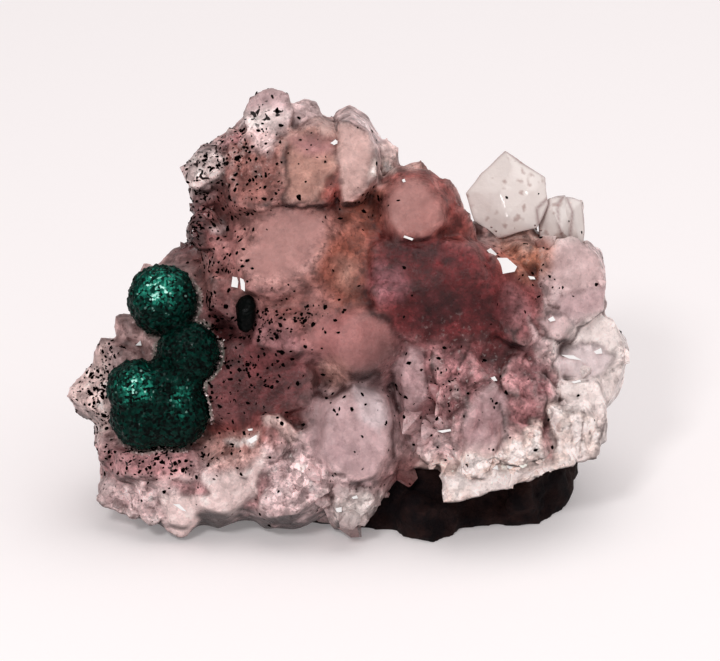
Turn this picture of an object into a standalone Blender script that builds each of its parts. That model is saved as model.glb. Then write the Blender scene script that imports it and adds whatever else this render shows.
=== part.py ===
"""A hand specimen of malachite on druzy quartz, built as four solids.

matrix_rock        the dark host rock that the specimen rests on, flat underneath
quartz_druse       the quartz crust: crystals grown together and fused to their massive root
malachite_cluster  balls of malachite grown together on the left of the crust
malachite_bead     one small dark malachite bead, standing alone in a hollow of the crust

The specimen is laid out in its show face's own directions, in millimetres: across (right), up (up the
face) and out (towards a viewer who looks down on it by SHOW_TILT). show() turns those into the row
frame, which is +Z up with the floor at zero. Solids are worked in millimetres and stored in metres.
"""

import math
import random

import bmesh
import bpy
from mathutils import Matrix, Vector, noise

MM = 0.001
SHOW_TILT = math.radians(25)  # the show face leans back: it is seen square from this far above the horizon
GAP = 0.3  # clearance between neighbouring solids

# Quartz crystals: a six-sided prism under six rhombohedral faces.
RHOMB_DIP = math.radians(51.8)  # between the normal of a tip face and the crystal's long axis
PRISM_SPREAD = 0.14  # how unequal the prism faces of one crystal are
MAIN_FACE_OFFSET = (0.0, 0.06)  # how far the three main tip faces stand off from the tip, in radii
MINOR_FACE_OFFSET = (0.10, 0.42)  # and the three lesser ones
PRISM_FACES = 6

SHOW_RIGHT = Vector((1, 0, 0))
SHOW_UP = Vector((0, math.sin(SHOW_TILT), math.cos(SHOW_TILT)))
SHOW_OUT = Vector((0, -math.cos(SHOW_TILT), math.sin(SHOW_TILT)))

# The massive quartz under the crystals: centre (across, up, out) and radii of each swelling.
QUARTZ_MASSES = {
    "heart": ((-1.4, 16.5, 5.2), (11.5, 11.0, 8.0)),
    "peak": ((-6.4, 24.8, 6.6), (5.4, 5.4, 5.0)),
    "left_lobe": ((-15.0, 5.4, 4.4), (5.8, 5.6, 5.8)),
    "right_shoulder": ((13.8, 13.4, 3.8), (6.6, 8.6, 6.4)),
    "column_wall": ((10.0, 10.4, 5.8), (7.4, 6.4, 6.2)),
    "foot": ((-4.0, 3.4, 5.4), (11.6, 4.8, 6.6)),
    "right_foot": ((12.4, 6.0, 4.4), (6.0, 4.4, 5.8)),
    "neck": ((-13.2, 13.3, 5.4), (4.6, 6.0, 5.4)),
}
# Rounded knobs of quartz on the left flank of the peak, in the same terms.
QUARTZ_KNOBS = {
    "upper": ((-11.4, 26.0, 9.8), (1.9, 1.9, 2.2)),
    "lower": ((-11.5, 21.3, 10.2), (1.6, 1.8, 1.9)),
}
QUARTZ_UNDERSIDE = ((0.0, 0.0, 0.4), (0.0, 0.0, -1.0))  # nothing of the crust reaches the floor
MASS_ROUGHNESS = 0.55  # how far the massive quartz is pushed in and out of its swellings
MASS_LUMP = 3.0  # how wide those bumps are

# Every crystal that shows as one: tip (across, up, out), long axis, radius, length.
CRYSTALS = {
    # the left flank of the peak and the crystals behind it
    "shoulder_upper": ((-9.6, 29.4, 9.4), (-0.5, 0.8, 0.3), 1.2, 5),
    "shoulder_lower": ((-10.9, 28.0, 10.0), (-0.65, 0.7, 0.3), 1.1, 5),
    "clear_pair_left": ((3.3, 28.8, 8.2), (0.1, 0.95, 0.25), 1.3, 7),
    "clear_pair_right": ((6.1, 27.0, 8.0), (0.4, 0.85, 0.3), 1.2, 7),
    "valley_upper": ((8.2, 25.2, 10.6), (0.35, 0.85, 0.38), 2.0, 8),
    "valley_lower": ((9.6, 22.6, 9.8), (0.5, 0.75, 0.42), 1.7, 8),
    # the middle, behind the broad faces
    "broad_tip": ((1.0, 30.2, 9.8), (0.16, 0.95, 0.26), 2.4, 9),
    "oval_back": ((5.2, 25.6, 11.0), (0.1, 0.88, 0.46), 2.6, 9),
    "oval_rim": ((9.2, 23.0, 11.8), (0.45, 0.6, 0.66), 2.2, 8),
    "left_ridge": ((-10.4, 20.4, 11.6), (-0.5, 0.5, 0.7), 2.2, 8),
    "dusky_upper": ((-7.6, 11.2, 12.4), (-0.12, 0.5, 0.86), 2.6, 8),
    "dusky_right": ((-3.6, 9.2, 12.6), (0.12, 0.6, 0.79), 2.2, 8),
    "seam_crystal": ((-0.8, 16.0, 12.6), (0.0, 0.7, 0.7), 2.4, 8),
    "grey_upper": ((0.2, 8.4, 13.4), (0.0, 0.5, 0.87), 2.6, 8),
    "grey_left": ((-3.4, 5.0, 12.8), (-0.2, 0.4, 0.9), 2.2, 8),
    "smoky_right": ((11.6, 13.6, 12.0), (0.3, 0.5, 0.8), 2.0, 8),
    "speckled_left": ((-10.6, 17.4, 12.4), (-0.4, 0.55, 0.73), 2.4, 8),
    "smoky_top": ((9.4, 20.6, 12.0), (0.3, 0.8, 0.5), 2.6, 8),
    "speckled_shelf": ((-4.6, 14.2, 14.2), (0.05, 0.35, 0.93), 2.7, 8),
    # the clear and pale crystals of the right shoulder
    "shoulder_root": ((12.6, 24.6, 6.4), (0.0, 0.9, 0.3), 2.6, 8),
    "olive_block": ((14.4, 20.0, 10.6), (0.1, 0.5, 0.85), 2.4, 8),
    "flank_upper": ((21.0, 18.4, 4.6), (0.75, 0.55, 0.35), 2.3, 9),
    "flank_middle": ((21.3, 15.4, 4.6), (0.92, 0.15, 0.35), 1.9, 8),
    "flank_drop": ((16.9, 13.0, 11.0), (0.1, -0.3, 0.95), 1.8, 8),
    "glass_tip": ((22.9, 11.6, 5.0), (0.88, 0.1, 0.45), 3.0, 10),
    "glass_upper": ((20.4, 13.8, 7.4), (0.4, 0.6, 0.7), 1.9, 8),
    "glass_lower": ((20.6, 8.6, 7.6), (0.55, -0.25, 0.8), 2.4, 8),
    "glass_front": ((18.0, 10.6, 9.8), (0.1, 0.0, 1.0), 2.4, 8),
    # the columns that stand side by side over the broken crust
    "column_a": ((5.2, 12.4, 11.4), (-0.14, 0.9, 0.4), 1.7, 9),
    "column_b": ((7.4, 12.4, 11.8), (-0.05, 0.92, 0.38), 1.9, 10),
    "column_c": ((9.8, 11.8, 11.8), (0.0, 0.93, 0.37), 1.8, 9),
    "column_d": ((11.8, 10.8, 11.5), (0.05, 0.93, 0.37), 1.5, 8),
    "column_e": ((13.6, 11.4, 11.2), (0.08, 0.93, 0.37), 1.8, 9),
    "column_f": ((15.2, 13.6, 10.6), (-0.2, 0.9, 0.38), 1.4, 9),
    "column_g": ((10.8, 10.2, 12.5), (0.0, 0.93, 0.36), 1.6, 9),
    "column_h": ((8.5, 9.4, 12.7), (-0.1, 0.93, 0.36), 1.7, 8),
    "column_k": ((15.4, 10.0, 11.2), (0.1, 0.93, 0.36), 1.8, 8),
    "column_m": ((12.8, 9.2, 12.2), (0.0, 0.93, 0.36), 1.7, 8),
    # the left lobe
    "left_tip": ((-22.6, 8.0, 7.8), (-0.95, -0.02, 0.3), 2.7, 11),
    "left_upper": ((-19.8, 12.6, 8.2), (-0.6, 0.75, 0.28), 2.4, 9),
    "ball_shelter": ((-18.6, 14.4, 8.6), (-0.7, 0.65, 0.3), 1.4, 6),
    "ball_shelter_upper": ((-16.4, 18.6, 8.4), (-0.4, 0.9, 0.2), 1.4, 7),
    "left_low": ((-19.9, 3.4, 9.4), (-0.7, -0.1, 0.7), 2.5, 9),
    "left_foot_outer": ((-20.2, -0.4, 8.0), (-0.85, -0.3, 0.4), 1.9, 8),
    "left_foot": ((-17.4, -1.8, 8.6), (-0.4, -0.75, 0.5), 1.6, 7),
    # the pale skirt along the bottom
    "left_skirt": ((-15.8, -2.5, 9.4), (-0.25, -0.85, 0.45), 1.8, 7),
    "standing_foot": ((-13.3, -3.7, 8.5), (0.0, -0.93, 0.36), 1.8, 8),
    "pocket_rim": ((-7.6, 3.2, 13.0), (0.15, 0.3, 0.94), 1.7, 7),
    "rust_gable": ((-6.2, 6.6, 13.8), (0.05, 0.7, 0.7), 2.3, 8),
    "low_foot": ((-5.9, -2.8, 8.8), (-0.1, -0.85, 0.5), 2.0, 8),
    "cave_lip": ((3.4, 1.6, 10.6), (0.3, -0.6, 0.7), 1.8, 7),
    "cave_side": ((6.3, 3.2, 12.2), (-0.2, -0.2, 0.95), 1.2, 6),
    "cave_side_low": ((7.4, 4.6, 12.6), (0.0, 0.1, 1.0), 1.1, 6),
}

# Broad crystal faces of the show face. Each is a block: the outline of its face (across, up), how far out the
# middle of the face lies, the way it faces, how deep the block goes, and how much wider it is at the back.
BROAD_FACES = {
    "great_pale_face": (
        [
            (-8.5, 18.8), (-6.9, 21.7), (-4.8, 23.0), (-2.0, 22.0), (-1.3, 20.0), (-2.5, 17.8),
            (-5.0, 16.5), (-7.6, 16.7),
        ],
        13.5, (-0.12, 0.24, 0.96), 4, 3.2,
    ),
    "peak_block": (
        [
            (-8.3, 30.6), (-7.7, 31.9), (-6.3, 32.7), (-4.6, 32.2), (-4.3, 30.6), (-4.9, 28.7), (-7.4, 28.5),
        ],
        10.4, (-0.1, 0.34, 0.93), 5, -0.5,
    ),
    "peak_second": (
        [
            (-4.5, 31.2), (-3.4, 31.9), (-2.4, 31.6), (-2.0, 30.3), (-2.4, 29.0), (-4.4, 29.0),
        ],
        9.4, (0.1, 0.3, 0.95), 5, -0.3,
    ),
    "tan_face": (
        [
            (-5.0, 28.2), (-2.8, 29.7), (-0.4, 28.2), (-0.4, 25.6), (-1.6, 23.3), (-3.8, 23.1),
            (-5.0, 23.8),
        ],
        12.8, (0.06, 0.38, 0.92), 5, 1.4,
    ),
    "speckled_face": (
        [
            (-9.5, 27.1), (-7.9, 28.7), (-5.0, 28.2), (-5.0, 23.8), (-6.9, 22.9), (-8.7, 23.3),
            (-9.8, 25.1),
        ],
        12.2, (-0.36, 0.3, 0.88), 5, 2.4,
    ),
    "broad_face": (
        [
            (-0.4, 29.7), (0.4, 30.2), (1.5, 29.3), (2.3, 27.7), (2.2, 25.1), (0.9, 23.5),
            (-0.4, 23.3),
        ],
        12.5, (0.2, 0.3, 0.93), 6, 1.2,
    ),
    "oval_face": (
        [
            (3.5, 24.0), (4.6, 25.0), (6.3, 25.0), (7.6, 23.4), (7.6, 21.9), (6.7, 20.8), (4.3, 20.8),
            (3.3, 22.0),
        ],
        13.7, (0.05, 0.22, 0.97), 3.6, 1.5,
    ),
    "smoky_upper": (
        [
            (2.0, 19.6), (3.7, 20.3), (6.7, 20.4), (9.7, 19.9), (11.3, 17.3), (6.9, 15.7), (2.5, 16.7),
        ],
        13.2, (-0.12, 0.2, 0.97), 5, 1.6,
    ),
    "smoky_lower": (
        [
            (2.2, 16.5), (6.7, 15.6), (11.3, 17.0), (12.4, 13.3), (9.8, 11.9), (5.9, 12.0),
            (3.2, 13.4),
        ],
        13.2, (0.08, -0.14, 0.98), 5, 1.6,
    ),
    "smoky_flank": (
        [
            (11.5, 19.1), (13.9, 18.3), (15.7, 16.0), (15.9, 13.4), (14.2, 12.0), (12.4, 12.8),
        ],
        11.9, (0.42, 0.2, 0.88), 5, 1.8,
    ),
    "dusky_slope": (
        [
            (-11.4, 11.6), (-8.6, 12.4), (-5.0, 11.6), (-2.8, 9.8), (-3.4, 7.2), (-6.0, 6.4), (-9.0, 5.4),
            (-10.8, 6.4), (-11.5, 9.0),
        ],
        12.2, (-0.08, 0.1, 0.99), 4, 1.4,
    ),
    "salmon_face": (
        [
            (0.2, 14.3), (2.0, 14.6), (3.2, 13.2), (3.4, 11.6), (2.3, 10.4), (0.5, 10.1), (-0.6, 11.5),
            (-0.7, 13.2),
        ],
        13.9, (0.2, 0.06, 0.97), 4, 2.4,
    ),
    "freckled_slope": (
        [
            (-6.9, 15.2), (-4.0, 15.9), (-1.4, 14.6), (-1.1, 12.6), (-3.8, 11.5), (-7.2, 12.1),
        ],
        13.0, (-0.12, 0.3, 0.94), 4, 2.4,
    ),
    "clear_shoulder": (
        [
            (9.5, 24.3), (10.8, 25.9), (12.8, 27.8), (14.1, 26.8), (16.1, 25.6), (16.3, 23.4), (15.4, 21.4),
            (12.2, 20.6), (10.2, 22.0),
        ],
        8.4, (-0.1, 0.26, 0.96), 4.6, -0.8,
    ),
    "clear_corner_inner": (
        [
            (15.3, 23.0), (16.3, 24.0), (17.5, 24.1), (18.2, 22.8), (18.0, 20.6), (15.6, 20.2),
        ],
        8.2, (-0.1, 0.2, 0.97), 4.4, -0.4,
    ),
    "clear_corner": (
        [
            (17.5, 23.0), (18.4, 23.9), (19.1, 23.7), (19.3, 21.2), (19.2, 19.6), (17.6, 20.0), (17.1, 21.6),
        ],
        8.0, (0.3, 0.16, 0.94), 4.4, -0.4,
    ),
    "flank_pale": (
        [
            (15.6, 20.0), (18.4, 20.6), (20.2, 19.2), (20.9, 16.8), (20.7, 14.8), (18.8, 13.6), (16.4, 14.2),
            (15.3, 17.0),
        ],
        9.6, (0.34, 0.12, 0.93), 5, 0.4,
    ),
    "glass_face": (
        [
            (17.8, 13.2), (19.8, 14.0), (21.4, 14.2), (22.5, 12.0), (22.1, 9.2), (20.9, 6.8), (18.6, 6.6),
            (17.2, 8.4), (17.0, 11.0),
        ],
        8.0, (0.34, -0.06, 0.94), 5, 0.2,
    ),
    "skirt_face": (
        [
            (-11.7, -0.6), (-11.6, 1.5), (-10.2, 3.1), (-7.4, 3.8), (-6.7, 2.0), (-8.0, -0.1),
            (-9.8, -1.5),
        ],
        11.7, (0.16, -0.12, 0.97), 5, 2.0,
    ),
    "skirt_left": (
        [
            (-16.8, 1.4), (-14.8, 2.0), (-12.1, 1.5), (-12.0, -0.4), (-13.0, -2.5), (-14.4, -1.9),
            (-16.3, -1.1),
        ],
        10.4, (-0.2, -0.3, 0.93), 5, 1.8,
    ),
    "freckled_foot": (
        [
            (-18.5, 3.5), (-16.0, 3.1), (-12.4, 3.6), (-12.0, 2.2), (-14.6, 1.5), (-17.6, 1.7),
        ],
        11.0, (-0.08, 0.3, 0.95), 5, 2.2,
    ),
    "grey_low": (
        [
            (-6.9, 1.1), (-5.8, 3.8), (-3.8, 4.6), (-1.7, 2.8), (-1.5, 0.4), (-4.0, -1.3),
            (-5.9, -1.7), (-7.1, -0.6),
        ],
        12.0, (-0.16, -0.1, 0.98), 5, 2.0,
    ),
    "grey_face": (
        [
            (-1.4, 6.9), (0.4, 8.6), (2.8, 7.2), (3.3, 4.3), (2.2, 1.7), (-0.1, 1.1), (-1.9, 3.5),
        ],
        13.0, (0.26, 0.06, 0.96), 4.5, 2.4,
    ),
    "white_toe": (
        [
            (-1.1, -0.6), (0.0, 0.7), (1.7, 0.9), (2.1, -0.1), (1.1, -1.8), (-0.3, -2.0),
        ],
        11.5, (0.1, -0.3, 0.95), 5, 1.4,
    ),
}
FACE_EDGE_JITTER = 0.5

# Broken, granular parts of the crust's root: centre, half sizes, and turn about the outward direction.
CRUST_BLOCKS = {
    "buff_left": ((9.5, 1.8, 9.2), (2.0, 2.3, 2.7), 4),
    "buff_middle": ((12.6, 2.6, 9.4), (2.6, 2.3, 2.8), -6),
    "buff_right": ((15.8, 3.2, 8.8), (2.3, 2.2, 2.8), 8),
    "white_low": ((18.4, 4.4, 7.4), (2.0, 2.3, 3.0), -10),
    "white_high": ((18.9, 6.6, 7.2), (1.9, 2.6, 3.0), 4),
}
CRUST_UNDERSIDE = ((8.0, -0.3, 9.0), (0.29, -0.94, -0.18))  # one broken plane cuts them all off below
CHIPS_PER_BLOCK = 8
CHIP_REACH = (1.02, 1.3)  # how far out a chip is broken off, against the block's own reach that way

# Small crystals that cover the crust all round.
DRUSE_SPACING = 3.1
DRUSE_TRIES = 4000
DRUSE_RADIUS = (1.3, 2.6)
DRUSE_LENGTH = 4.5
DRUSE_RISE = (0.6, 1.2)  # how far a small crystal stands out, in radii
DRUSE_LEAN = 0.3  # how far it leans from square to the surface
DRUSE_LOWEST = 2.5  # none is rooted nearer the floor
DRUSE_OVERHANG = -0.6  # nor where the surface turns down more than this
DRUSE_SINK_STEP = 0.25
DRUSE_MOST_SUNK = -2.5
THREE_FACED_BELOW = 1.6  # a crystal with a smaller radius than this has three tip faces
COLLAR = 3.2  # how far round the malachite the small crystals close up to it
COLLAR_RISE = 0.9
BALL_SOCKET = 0.6  # none is rooted deeper inside a ball than this
DRUSE_BACK = 9.5  # behind this the crust's root is broken off against the host rock
SHOW_FACE_LIMIT = 0.42  # surfaces turned towards the viewer by more than this hold only the crystals above
TIP_ROOM = 0.5  # how much of a small crystal's radius stays within the show face's outline

ROOT_SEED = 4
DRUSE_SEED = 22
NOISE_SEED = 7

# The outline of the show face (across, up), which no small crystal passes.
SHOW_MIDDLE = (0.0, 13.0)
SHOW_OUTLINE = [
    (-6.3, 32.6), (-4.5, 32.2), (-2.4, 31.6), (-2.0, 30.3), (-0.2, 30.2), (1.7, 29.3), (2.5, 28.5),
    (4.3, 28.5), (6.3, 26.6), (6.9, 25.8), (8.8, 25.0), (9.4, 24.2), (10.8, 25.9), (12.8, 27.7),
    (14.1, 26.7), (16.1, 25.6), (16.3, 24.0), (17.5, 24.1), (18.9, 23.6), (19.1, 21.0), (20.8, 19.2),
    (21.3, 16.5), (21.3, 14.7), (22.7, 12.0), (22.4, 9.2), (21.1, 5.9), (20.6, 3.9), (19.8, 2.2),
    (18.5, 1.0), (8.0, 1.0), (1.0, -1.0), (-1.4, -1.8), (-4.6, -3.0), (-6.7, -2.8), (-8.7, -1.8),
    (-11.5, -3.0), (-13.2, -3.9), (-15.6, -2.8), (-17.6, -2.2), (-19.7, -1.0), (-20.3, 0.7),
    (-19.7, 2.0), (-19.3, 4.3), (-20.9, 6.3), (-22.7, 8.1), (-21.7, 9.6), (-20.3, 11.6), (-17.9, 13.7),
    (-18.2, 14.9), (-16.8, 18.1), (-14.8, 19.1), (-12.8, 19.8), (-12.5, 21.8), (-12.0, 23.4),
    (-13.0, 25.0), (-12.8, 26.7), (-11.1, 27.9), (-8.7, 29.1), (-8.2, 31.0),
]

# Malachite balls: centre (across, up, out) and radius.
MALACHITE_BALLS = {
    "top": ((-14.8, 15.7, 10.6), 2.75),
    "right": ((-12.7, 11.4, 11.3), 2.45),
    "bright": ((-16.9, 8.6, 11.6), 2.25),
    "low_left": ((-16.3, 6.4, 10.6), 2.65),
    "low_right": ((-13.7, 6.5, 11.0), 2.6),
    "joint": ((-13.8, 9.0, 10.6), 2.2),
}
MALACHITE_BEAD = ((-8.0, 14.6, 12.6), (0.85, 1.55, 0.9))
BALL_SUBDIVISIONS = 3
BEAD_SUBDIVISIONS = 2

ROCK_SIDE_LEANS = (0.22, -0.1, 0.3, 0.05, -0.14, 0.26, 0.12)  # how the sides of a block lean, in turn
# The host rock, in the row frame: blocks broken from one rock. Each has the outline it stands on and the
# planes that break it off above, as a point and an outward normal.
ROCK_BLOCKS = {
    "base": (
        [
            (-9.5, -5.2), (1.9, -7.0), (6.5, -8.0), (11.0, -6.6), (15.2, -5.2), (17.2, -1.9),
            (18.2, 2.9), (15.6, 7.6), (8.0, 10.0), (-4.0, 10.2), (-11.6, 8.0), (-14.2, 1.8),
        ],
        [
            ((0.0, -7.4, 3.2), (-0.05, -0.78, 0.62)),
            ((0.0, -7.6, 1.0), (0.05, -0.94, -0.3)),
            ((-13.6, 2.0, 4.6), (-0.84, -0.16, 0.52)),
            ((18.0, 2.0, 4.4), (0.84, -0.12, 0.53)),
            ((0.0, 0.0, 10.5), (0.06, -0.2, 0.97)),
            ((-6.0, 9.6, 4.5), (-0.2, 0.93, 0.3)),
        ],
    ),
    "back": (
        [
            (-9.6, 1.5), (12.0, 1.0), (15.4, 5.0), (14.2, 8.8), (7.0, 11.0), (-3.0, 11.4), (-10.4, 8.8),
        ],
        [
            ((0.0, 11.2, 5.0), (0.04, 0.985, 0.16)),
            ((6.0, 10.0, 15.0), (0.34, 0.80, 0.50)),
            ((-4.5, 10.2, 16.0), (-0.30, 0.84, 0.45)),
            ((-9.6, 6.0, 12.0), (-0.80, 0.12, 0.58)),
            ((13.6, 6.0, 11.0), (0.74, 0.16, 0.64)),
            ((0.0, 6.0, 23.4), (0.16, -0.5, 0.86)),
            ((0.0, 1.5, 9.0), (-0.06, -0.84, 0.54)),
        ],
    ),
    "ledge": (
        [
            (-12.8, 0.5), (-5.0, -3.0), (13.0, -3.4), (16.6, 2.4), (14.0, 9.4), (4.0, 9.6), (-11.4, 9.0),
        ],
        [
            ((0.0, -2.6, 7.6), (0.1, -0.72, 0.69)),
            ((15.6, 4.0, 9.0), (0.88, 0.1, 0.47)),
            ((-12.0, 4.0, 8.6), (-0.82, 0.1, 0.56)),
            ((2.0, 5.0, 14.2), (0.3, 0.28, 0.91)),
        ],
    ),
    "toe": (
        [(3.2, -5.0), (4.4, -8.4), (6.9, -9.4), (8.9, -7.9), (9.4, -4.0)],
        [((6.6, -7.0, 3.4), (0.2, -0.4, 0.9)), ((4.4, -7.0, 2.6), (-0.7, -0.1, 0.7))],
    ),
    "heel": (
        [(11.6, -4.0), (12.6, -6.6), (15.6, -6.2), (18.0, -3.0), (18.9, 2.2), (14.0, 3.0)],
        [((16.0, -3.0, 4.6), (0.5, -0.3, 0.8)), ((13.0, -6.0, 3.0), (-0.2, -0.7, 0.7))],
    ),
}

BISECT_SPAN = 60.0  # a block this wide holds any part of the specimen


def show(across, up, out):
    """A direction or place in the show face's terms, in the row frame."""
    return SHOW_RIGHT * across + SHOW_UP * up + SHOW_OUT * out


def cut(bm, point, normal):
    """Takes away what lies beyond a plane, and closes the cut."""
    geometry = bm.verts[:] + bm.edges[:] + bm.faces[:]
    cut_result = bmesh.ops.bisect_plane(
        bm, geom=geometry, plane_co=point, plane_no=normal, clear_outer=True, dist=1e-5
    )
    rim = [e for e in cut_result["geom_cut"] if isinstance(e, bmesh.types.BMEdge)]
    if rim:
        bmesh.ops.contextual_create(bm, geom=rim)


def axis_turn(axis):
    """The rotation that points +Z along an axis."""
    return axis.to_track_quat("Z", "Y").to_matrix().to_4x4()


def crystal(tip, axis, radius, length, rng, three_faced=False):
    """One quartz crystal in the row frame, its tip at a point and its body running back along its axis."""
    bm = bmesh.new()
    bmesh.ops.create_cube(bm, size=2 * (radius + length))
    roll = rng.uniform(0, math.tau)
    for i in range(PRISM_FACES):
        turn = roll + math.tau * i / PRISM_FACES
        side = Vector((math.cos(turn), math.sin(turn), 0))
        reach = radius * math.cos(math.pi / PRISM_FACES) * (1 + rng.uniform(-PRISM_SPREAD, PRISM_SPREAD))
        cut(bm, side * reach, side)
        if three_faced and i % 2:
            continue
        slope = side * math.sin(RHOMB_DIP) + Vector((0, 0, math.cos(RHOMB_DIP)))
        stand_off = MINOR_FACE_OFFSET if i % 2 else MAIN_FACE_OFFSET
        cut(bm, slope * rng.uniform(*stand_off) * radius, slope)
    cut(bm, Vector((0, 0, -length)), Vector((0, 0, -1)))
    bm.transform(Matrix.Translation(tip) @ axis_turn(axis))
    return bm


def append(bm, piece):
    """Adds one bmesh's shell to another, and frees it."""
    scratch = bpy.data.meshes.new("scratch")
    piece.to_mesh(scratch)
    piece.free()
    bm.from_mesh(scratch)
    bpy.data.meshes.remove(scratch)


def roughened(bm, amount, size, seed):
    """Pushes every point by a smooth noise, so that nested shapes stay nested."""
    for vert in bm.verts:
        place = (vert.co + Vector((seed, seed, seed))) / size
        vert.co += noise.noise_vector(place) * amount
    return bm


def mass(centre, radii):
    """One rounded swelling of quartz."""
    bm = bmesh.new()
    bmesh.ops.create_icosphere(bm, subdivisions=2, radius=1)
    bm.transform(Matrix.Diagonal((*radii, 1)))
    turn = Matrix((SHOW_RIGHT, SHOW_UP, SHOW_OUT)).transposed().to_4x4()
    bm.transform(Matrix.Translation(show(*centre)) @ turn)
    return roughened(bm, MASS_ROUGHNESS, MASS_LUMP, NOISE_SEED)


def crust_block(centre, half_sizes, turn_deg, rng):
    """A broken block of the crust's root, its corners knocked off by random chips."""
    bm = bmesh.new()
    bmesh.ops.create_cube(bm, size=2)
    bm.transform(Matrix.Diagonal((*half_sizes, 1)))
    for _ in range(CHIPS_PER_BLOCK):
        way = Vector([rng.gauss(0, 1) for _ in range(3)]).normalized()
        reach = math.sqrt(sum((way[i] * half_sizes[i]) ** 2 for i in range(3)))
        cut(bm, way * reach * rng.uniform(*CHIP_REACH), way)
    bm.transform(Matrix.Rotation(math.radians(turn_deg), 4, "Z"))
    turn = Matrix((SHOW_RIGHT, SHOW_UP, SHOW_OUT)).transposed().to_4x4()
    bm.transform(Matrix.Translation(show(*centre)) @ turn)
    point, normal = CRUST_UNDERSIDE
    cut(bm, show(*point), show(*normal).normalized())
    return bm


def broad_face(outline, out, normal, depth, flare, rng):
    """A block whose front is one broad crystal face, flaring towards the back."""
    middle = Vector((sum(a for a, _ in outline), sum(b for _, b in outline))) / len(outline)
    facing = Vector(normal).normalized()
    bm = bmesh.new()
    for across, up in outline:
        slant = (facing.x * (across - middle.x) + facing.y * (up - middle.y)) / facing.z
        jitter = rng.uniform(-FACE_EDGE_JITTER, FACE_EDGE_JITTER)
        bm.verts.new(show(across, up, out - slant))
        spread = (Vector((across, up)) - middle).normalized() * (flare + jitter)
        bm.verts.new(show(across + spread.x, up + spread.y, out - slant - depth))
    hull = bmesh.ops.convex_hull(bm, input=bm.verts[:])
    inner = [g for g in hull["geom_interior"] if isinstance(g, bmesh.types.BMVert)]
    bmesh.ops.delete(bm, geom=inner, context="VERTS")
    bmesh.ops.recalc_face_normals(bm, faces=bm.faces[:])
    return bm


def triangulated(bm):
    bmesh.ops.triangulate(bm, faces=bm.faces[:])
    return bm


def rock_block(outline, breaks, grow):
    """One block of the host rock: an upright prism broken off by planes, every face moved out by grow."""
    corners = [Vector((*corner, 0)) for corner in outline]
    planes = [(Vector(point), Vector(normal).normalized()) for point, normal in breaks]
    for number, (start, end) in enumerate(zip(corners, corners[1:] + corners[:1])):
        outward = (end - start).cross(Vector((0, 0, 1))).normalized()
        outward.z = ROCK_SIDE_LEANS[number % len(ROCK_SIDE_LEANS)]
        planes.append((start, outward.normalized()))
    planes.append((Vector((0, 0, 0)), Vector((0, 0, -1))))
    bm = bmesh.new()
    bmesh.ops.create_cube(bm, size=BISECT_SPAN)
    for point, outward in planes:
        cut(bm, point + outward * grow, outward)
    return triangulated(bm)


def host_rock(grow=0.0):
    """The host rock's blocks, overlapping one another."""
    return [rock_block(outline, breaks, grow) for outline, breaks in ROCK_BLOCKS.values()]


def half_space(point, normal):
    """A block that fills everything near the specimen beyond a plane."""
    bm = bmesh.new()
    bmesh.ops.create_cube(bm, size=2 * BISECT_SPAN)
    outward = Vector(normal).normalized()
    bm.transform(Matrix.Translation(Vector(point) + outward * BISECT_SPAN) @ axis_turn(outward))
    return bm


def ball(centre, radius, grow=0.0):
    """One malachite ball."""
    bm = bmesh.new()
    bmesh.ops.create_icosphere(bm, subdivisions=BALL_SUBDIVISIONS, radius=radius + grow)
    bm.transform(Matrix.Translation(show(*centre)))
    return bm


def bead(grow=0.0):
    """The lone bead, longer up the face than across it."""
    centre, radii = MALACHITE_BEAD
    bm = bmesh.new()
    bmesh.ops.create_icosphere(bm, subdivisions=BEAD_SUBDIVISIONS, radius=1)
    bm.transform(Matrix.Diagonal((*(r + grow for r in radii), 1)))
    turn = Matrix((SHOW_RIGHT, SHOW_UP, SHOW_OUT)).transposed().to_4x4()
    bm.transform(Matrix.Translation(show(*centre)) @ turn)
    return bm


def working_object(name, bm):
    """An object in millimetres that later steps join or cut with."""
    mesh = bpy.data.meshes.new(name)
    bm.to_mesh(mesh)
    bm.free()
    obj = bpy.data.objects.new(name, mesh)
    bpy.context.scene.collection.objects.link(obj)
    obj.hide_render = True
    obj.display_type = "WIRE"
    return obj


def combined(obj, operation, tool, use_self=False):
    """The mesh of one object after a Boolean with another, as a new object; both inputs are removed."""
    modifier = obj.modifiers.new(operation.lower(), "BOOLEAN")
    modifier.operation = operation
    modifier.solver = "EXACT"
    modifier.use_self = use_self
    modifier.object = tool
    graph = bpy.context.evaluated_depsgraph_get()
    mesh = bpy.data.meshes.new_from_object(obj.evaluated_get(graph))
    name = obj.name
    for used in (obj, tool):
        bpy.data.objects.remove(used)
    made = bpy.data.objects.new(name, mesh)
    bpy.context.scene.collection.objects.link(made)
    made.hide_render = True
    made.display_type = "WIRE"
    return made


def joined(name, shells):
    """One solid from closed shells that overlap."""
    rest = bmesh.new()
    for shell in shells[1:]:
        append(rest, shell)
    first = working_object(name, shells[0])
    return combined(first, "UNION", working_object("rest", rest), use_self=True)


def shells(bm):
    """The separate shells of a mesh, each as a list of faces."""
    left = set(bm.faces)
    while left:
        shell = [left.pop()]
        for face in shell:
            for edge in face.edges:
                for neighbour in edge.link_faces:
                    if neighbour in left:
                        left.remove(neighbour)
                        shell.append(neighbour)
        yield shell


def keep_body(obj):
    """Keeps an object's largest shell: slivers cut loose and pockets sealed inside it go."""
    bm = bmesh.new()
    bm.from_mesh(obj.data)
    found = sorted(shells(bm), key=len)
    spare = [face for shell in found[:-1] for face in shell]
    bmesh.ops.delete(bm, geom=spare, context="FACES")
    bm.to_mesh(obj.data)
    bm.free()


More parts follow.
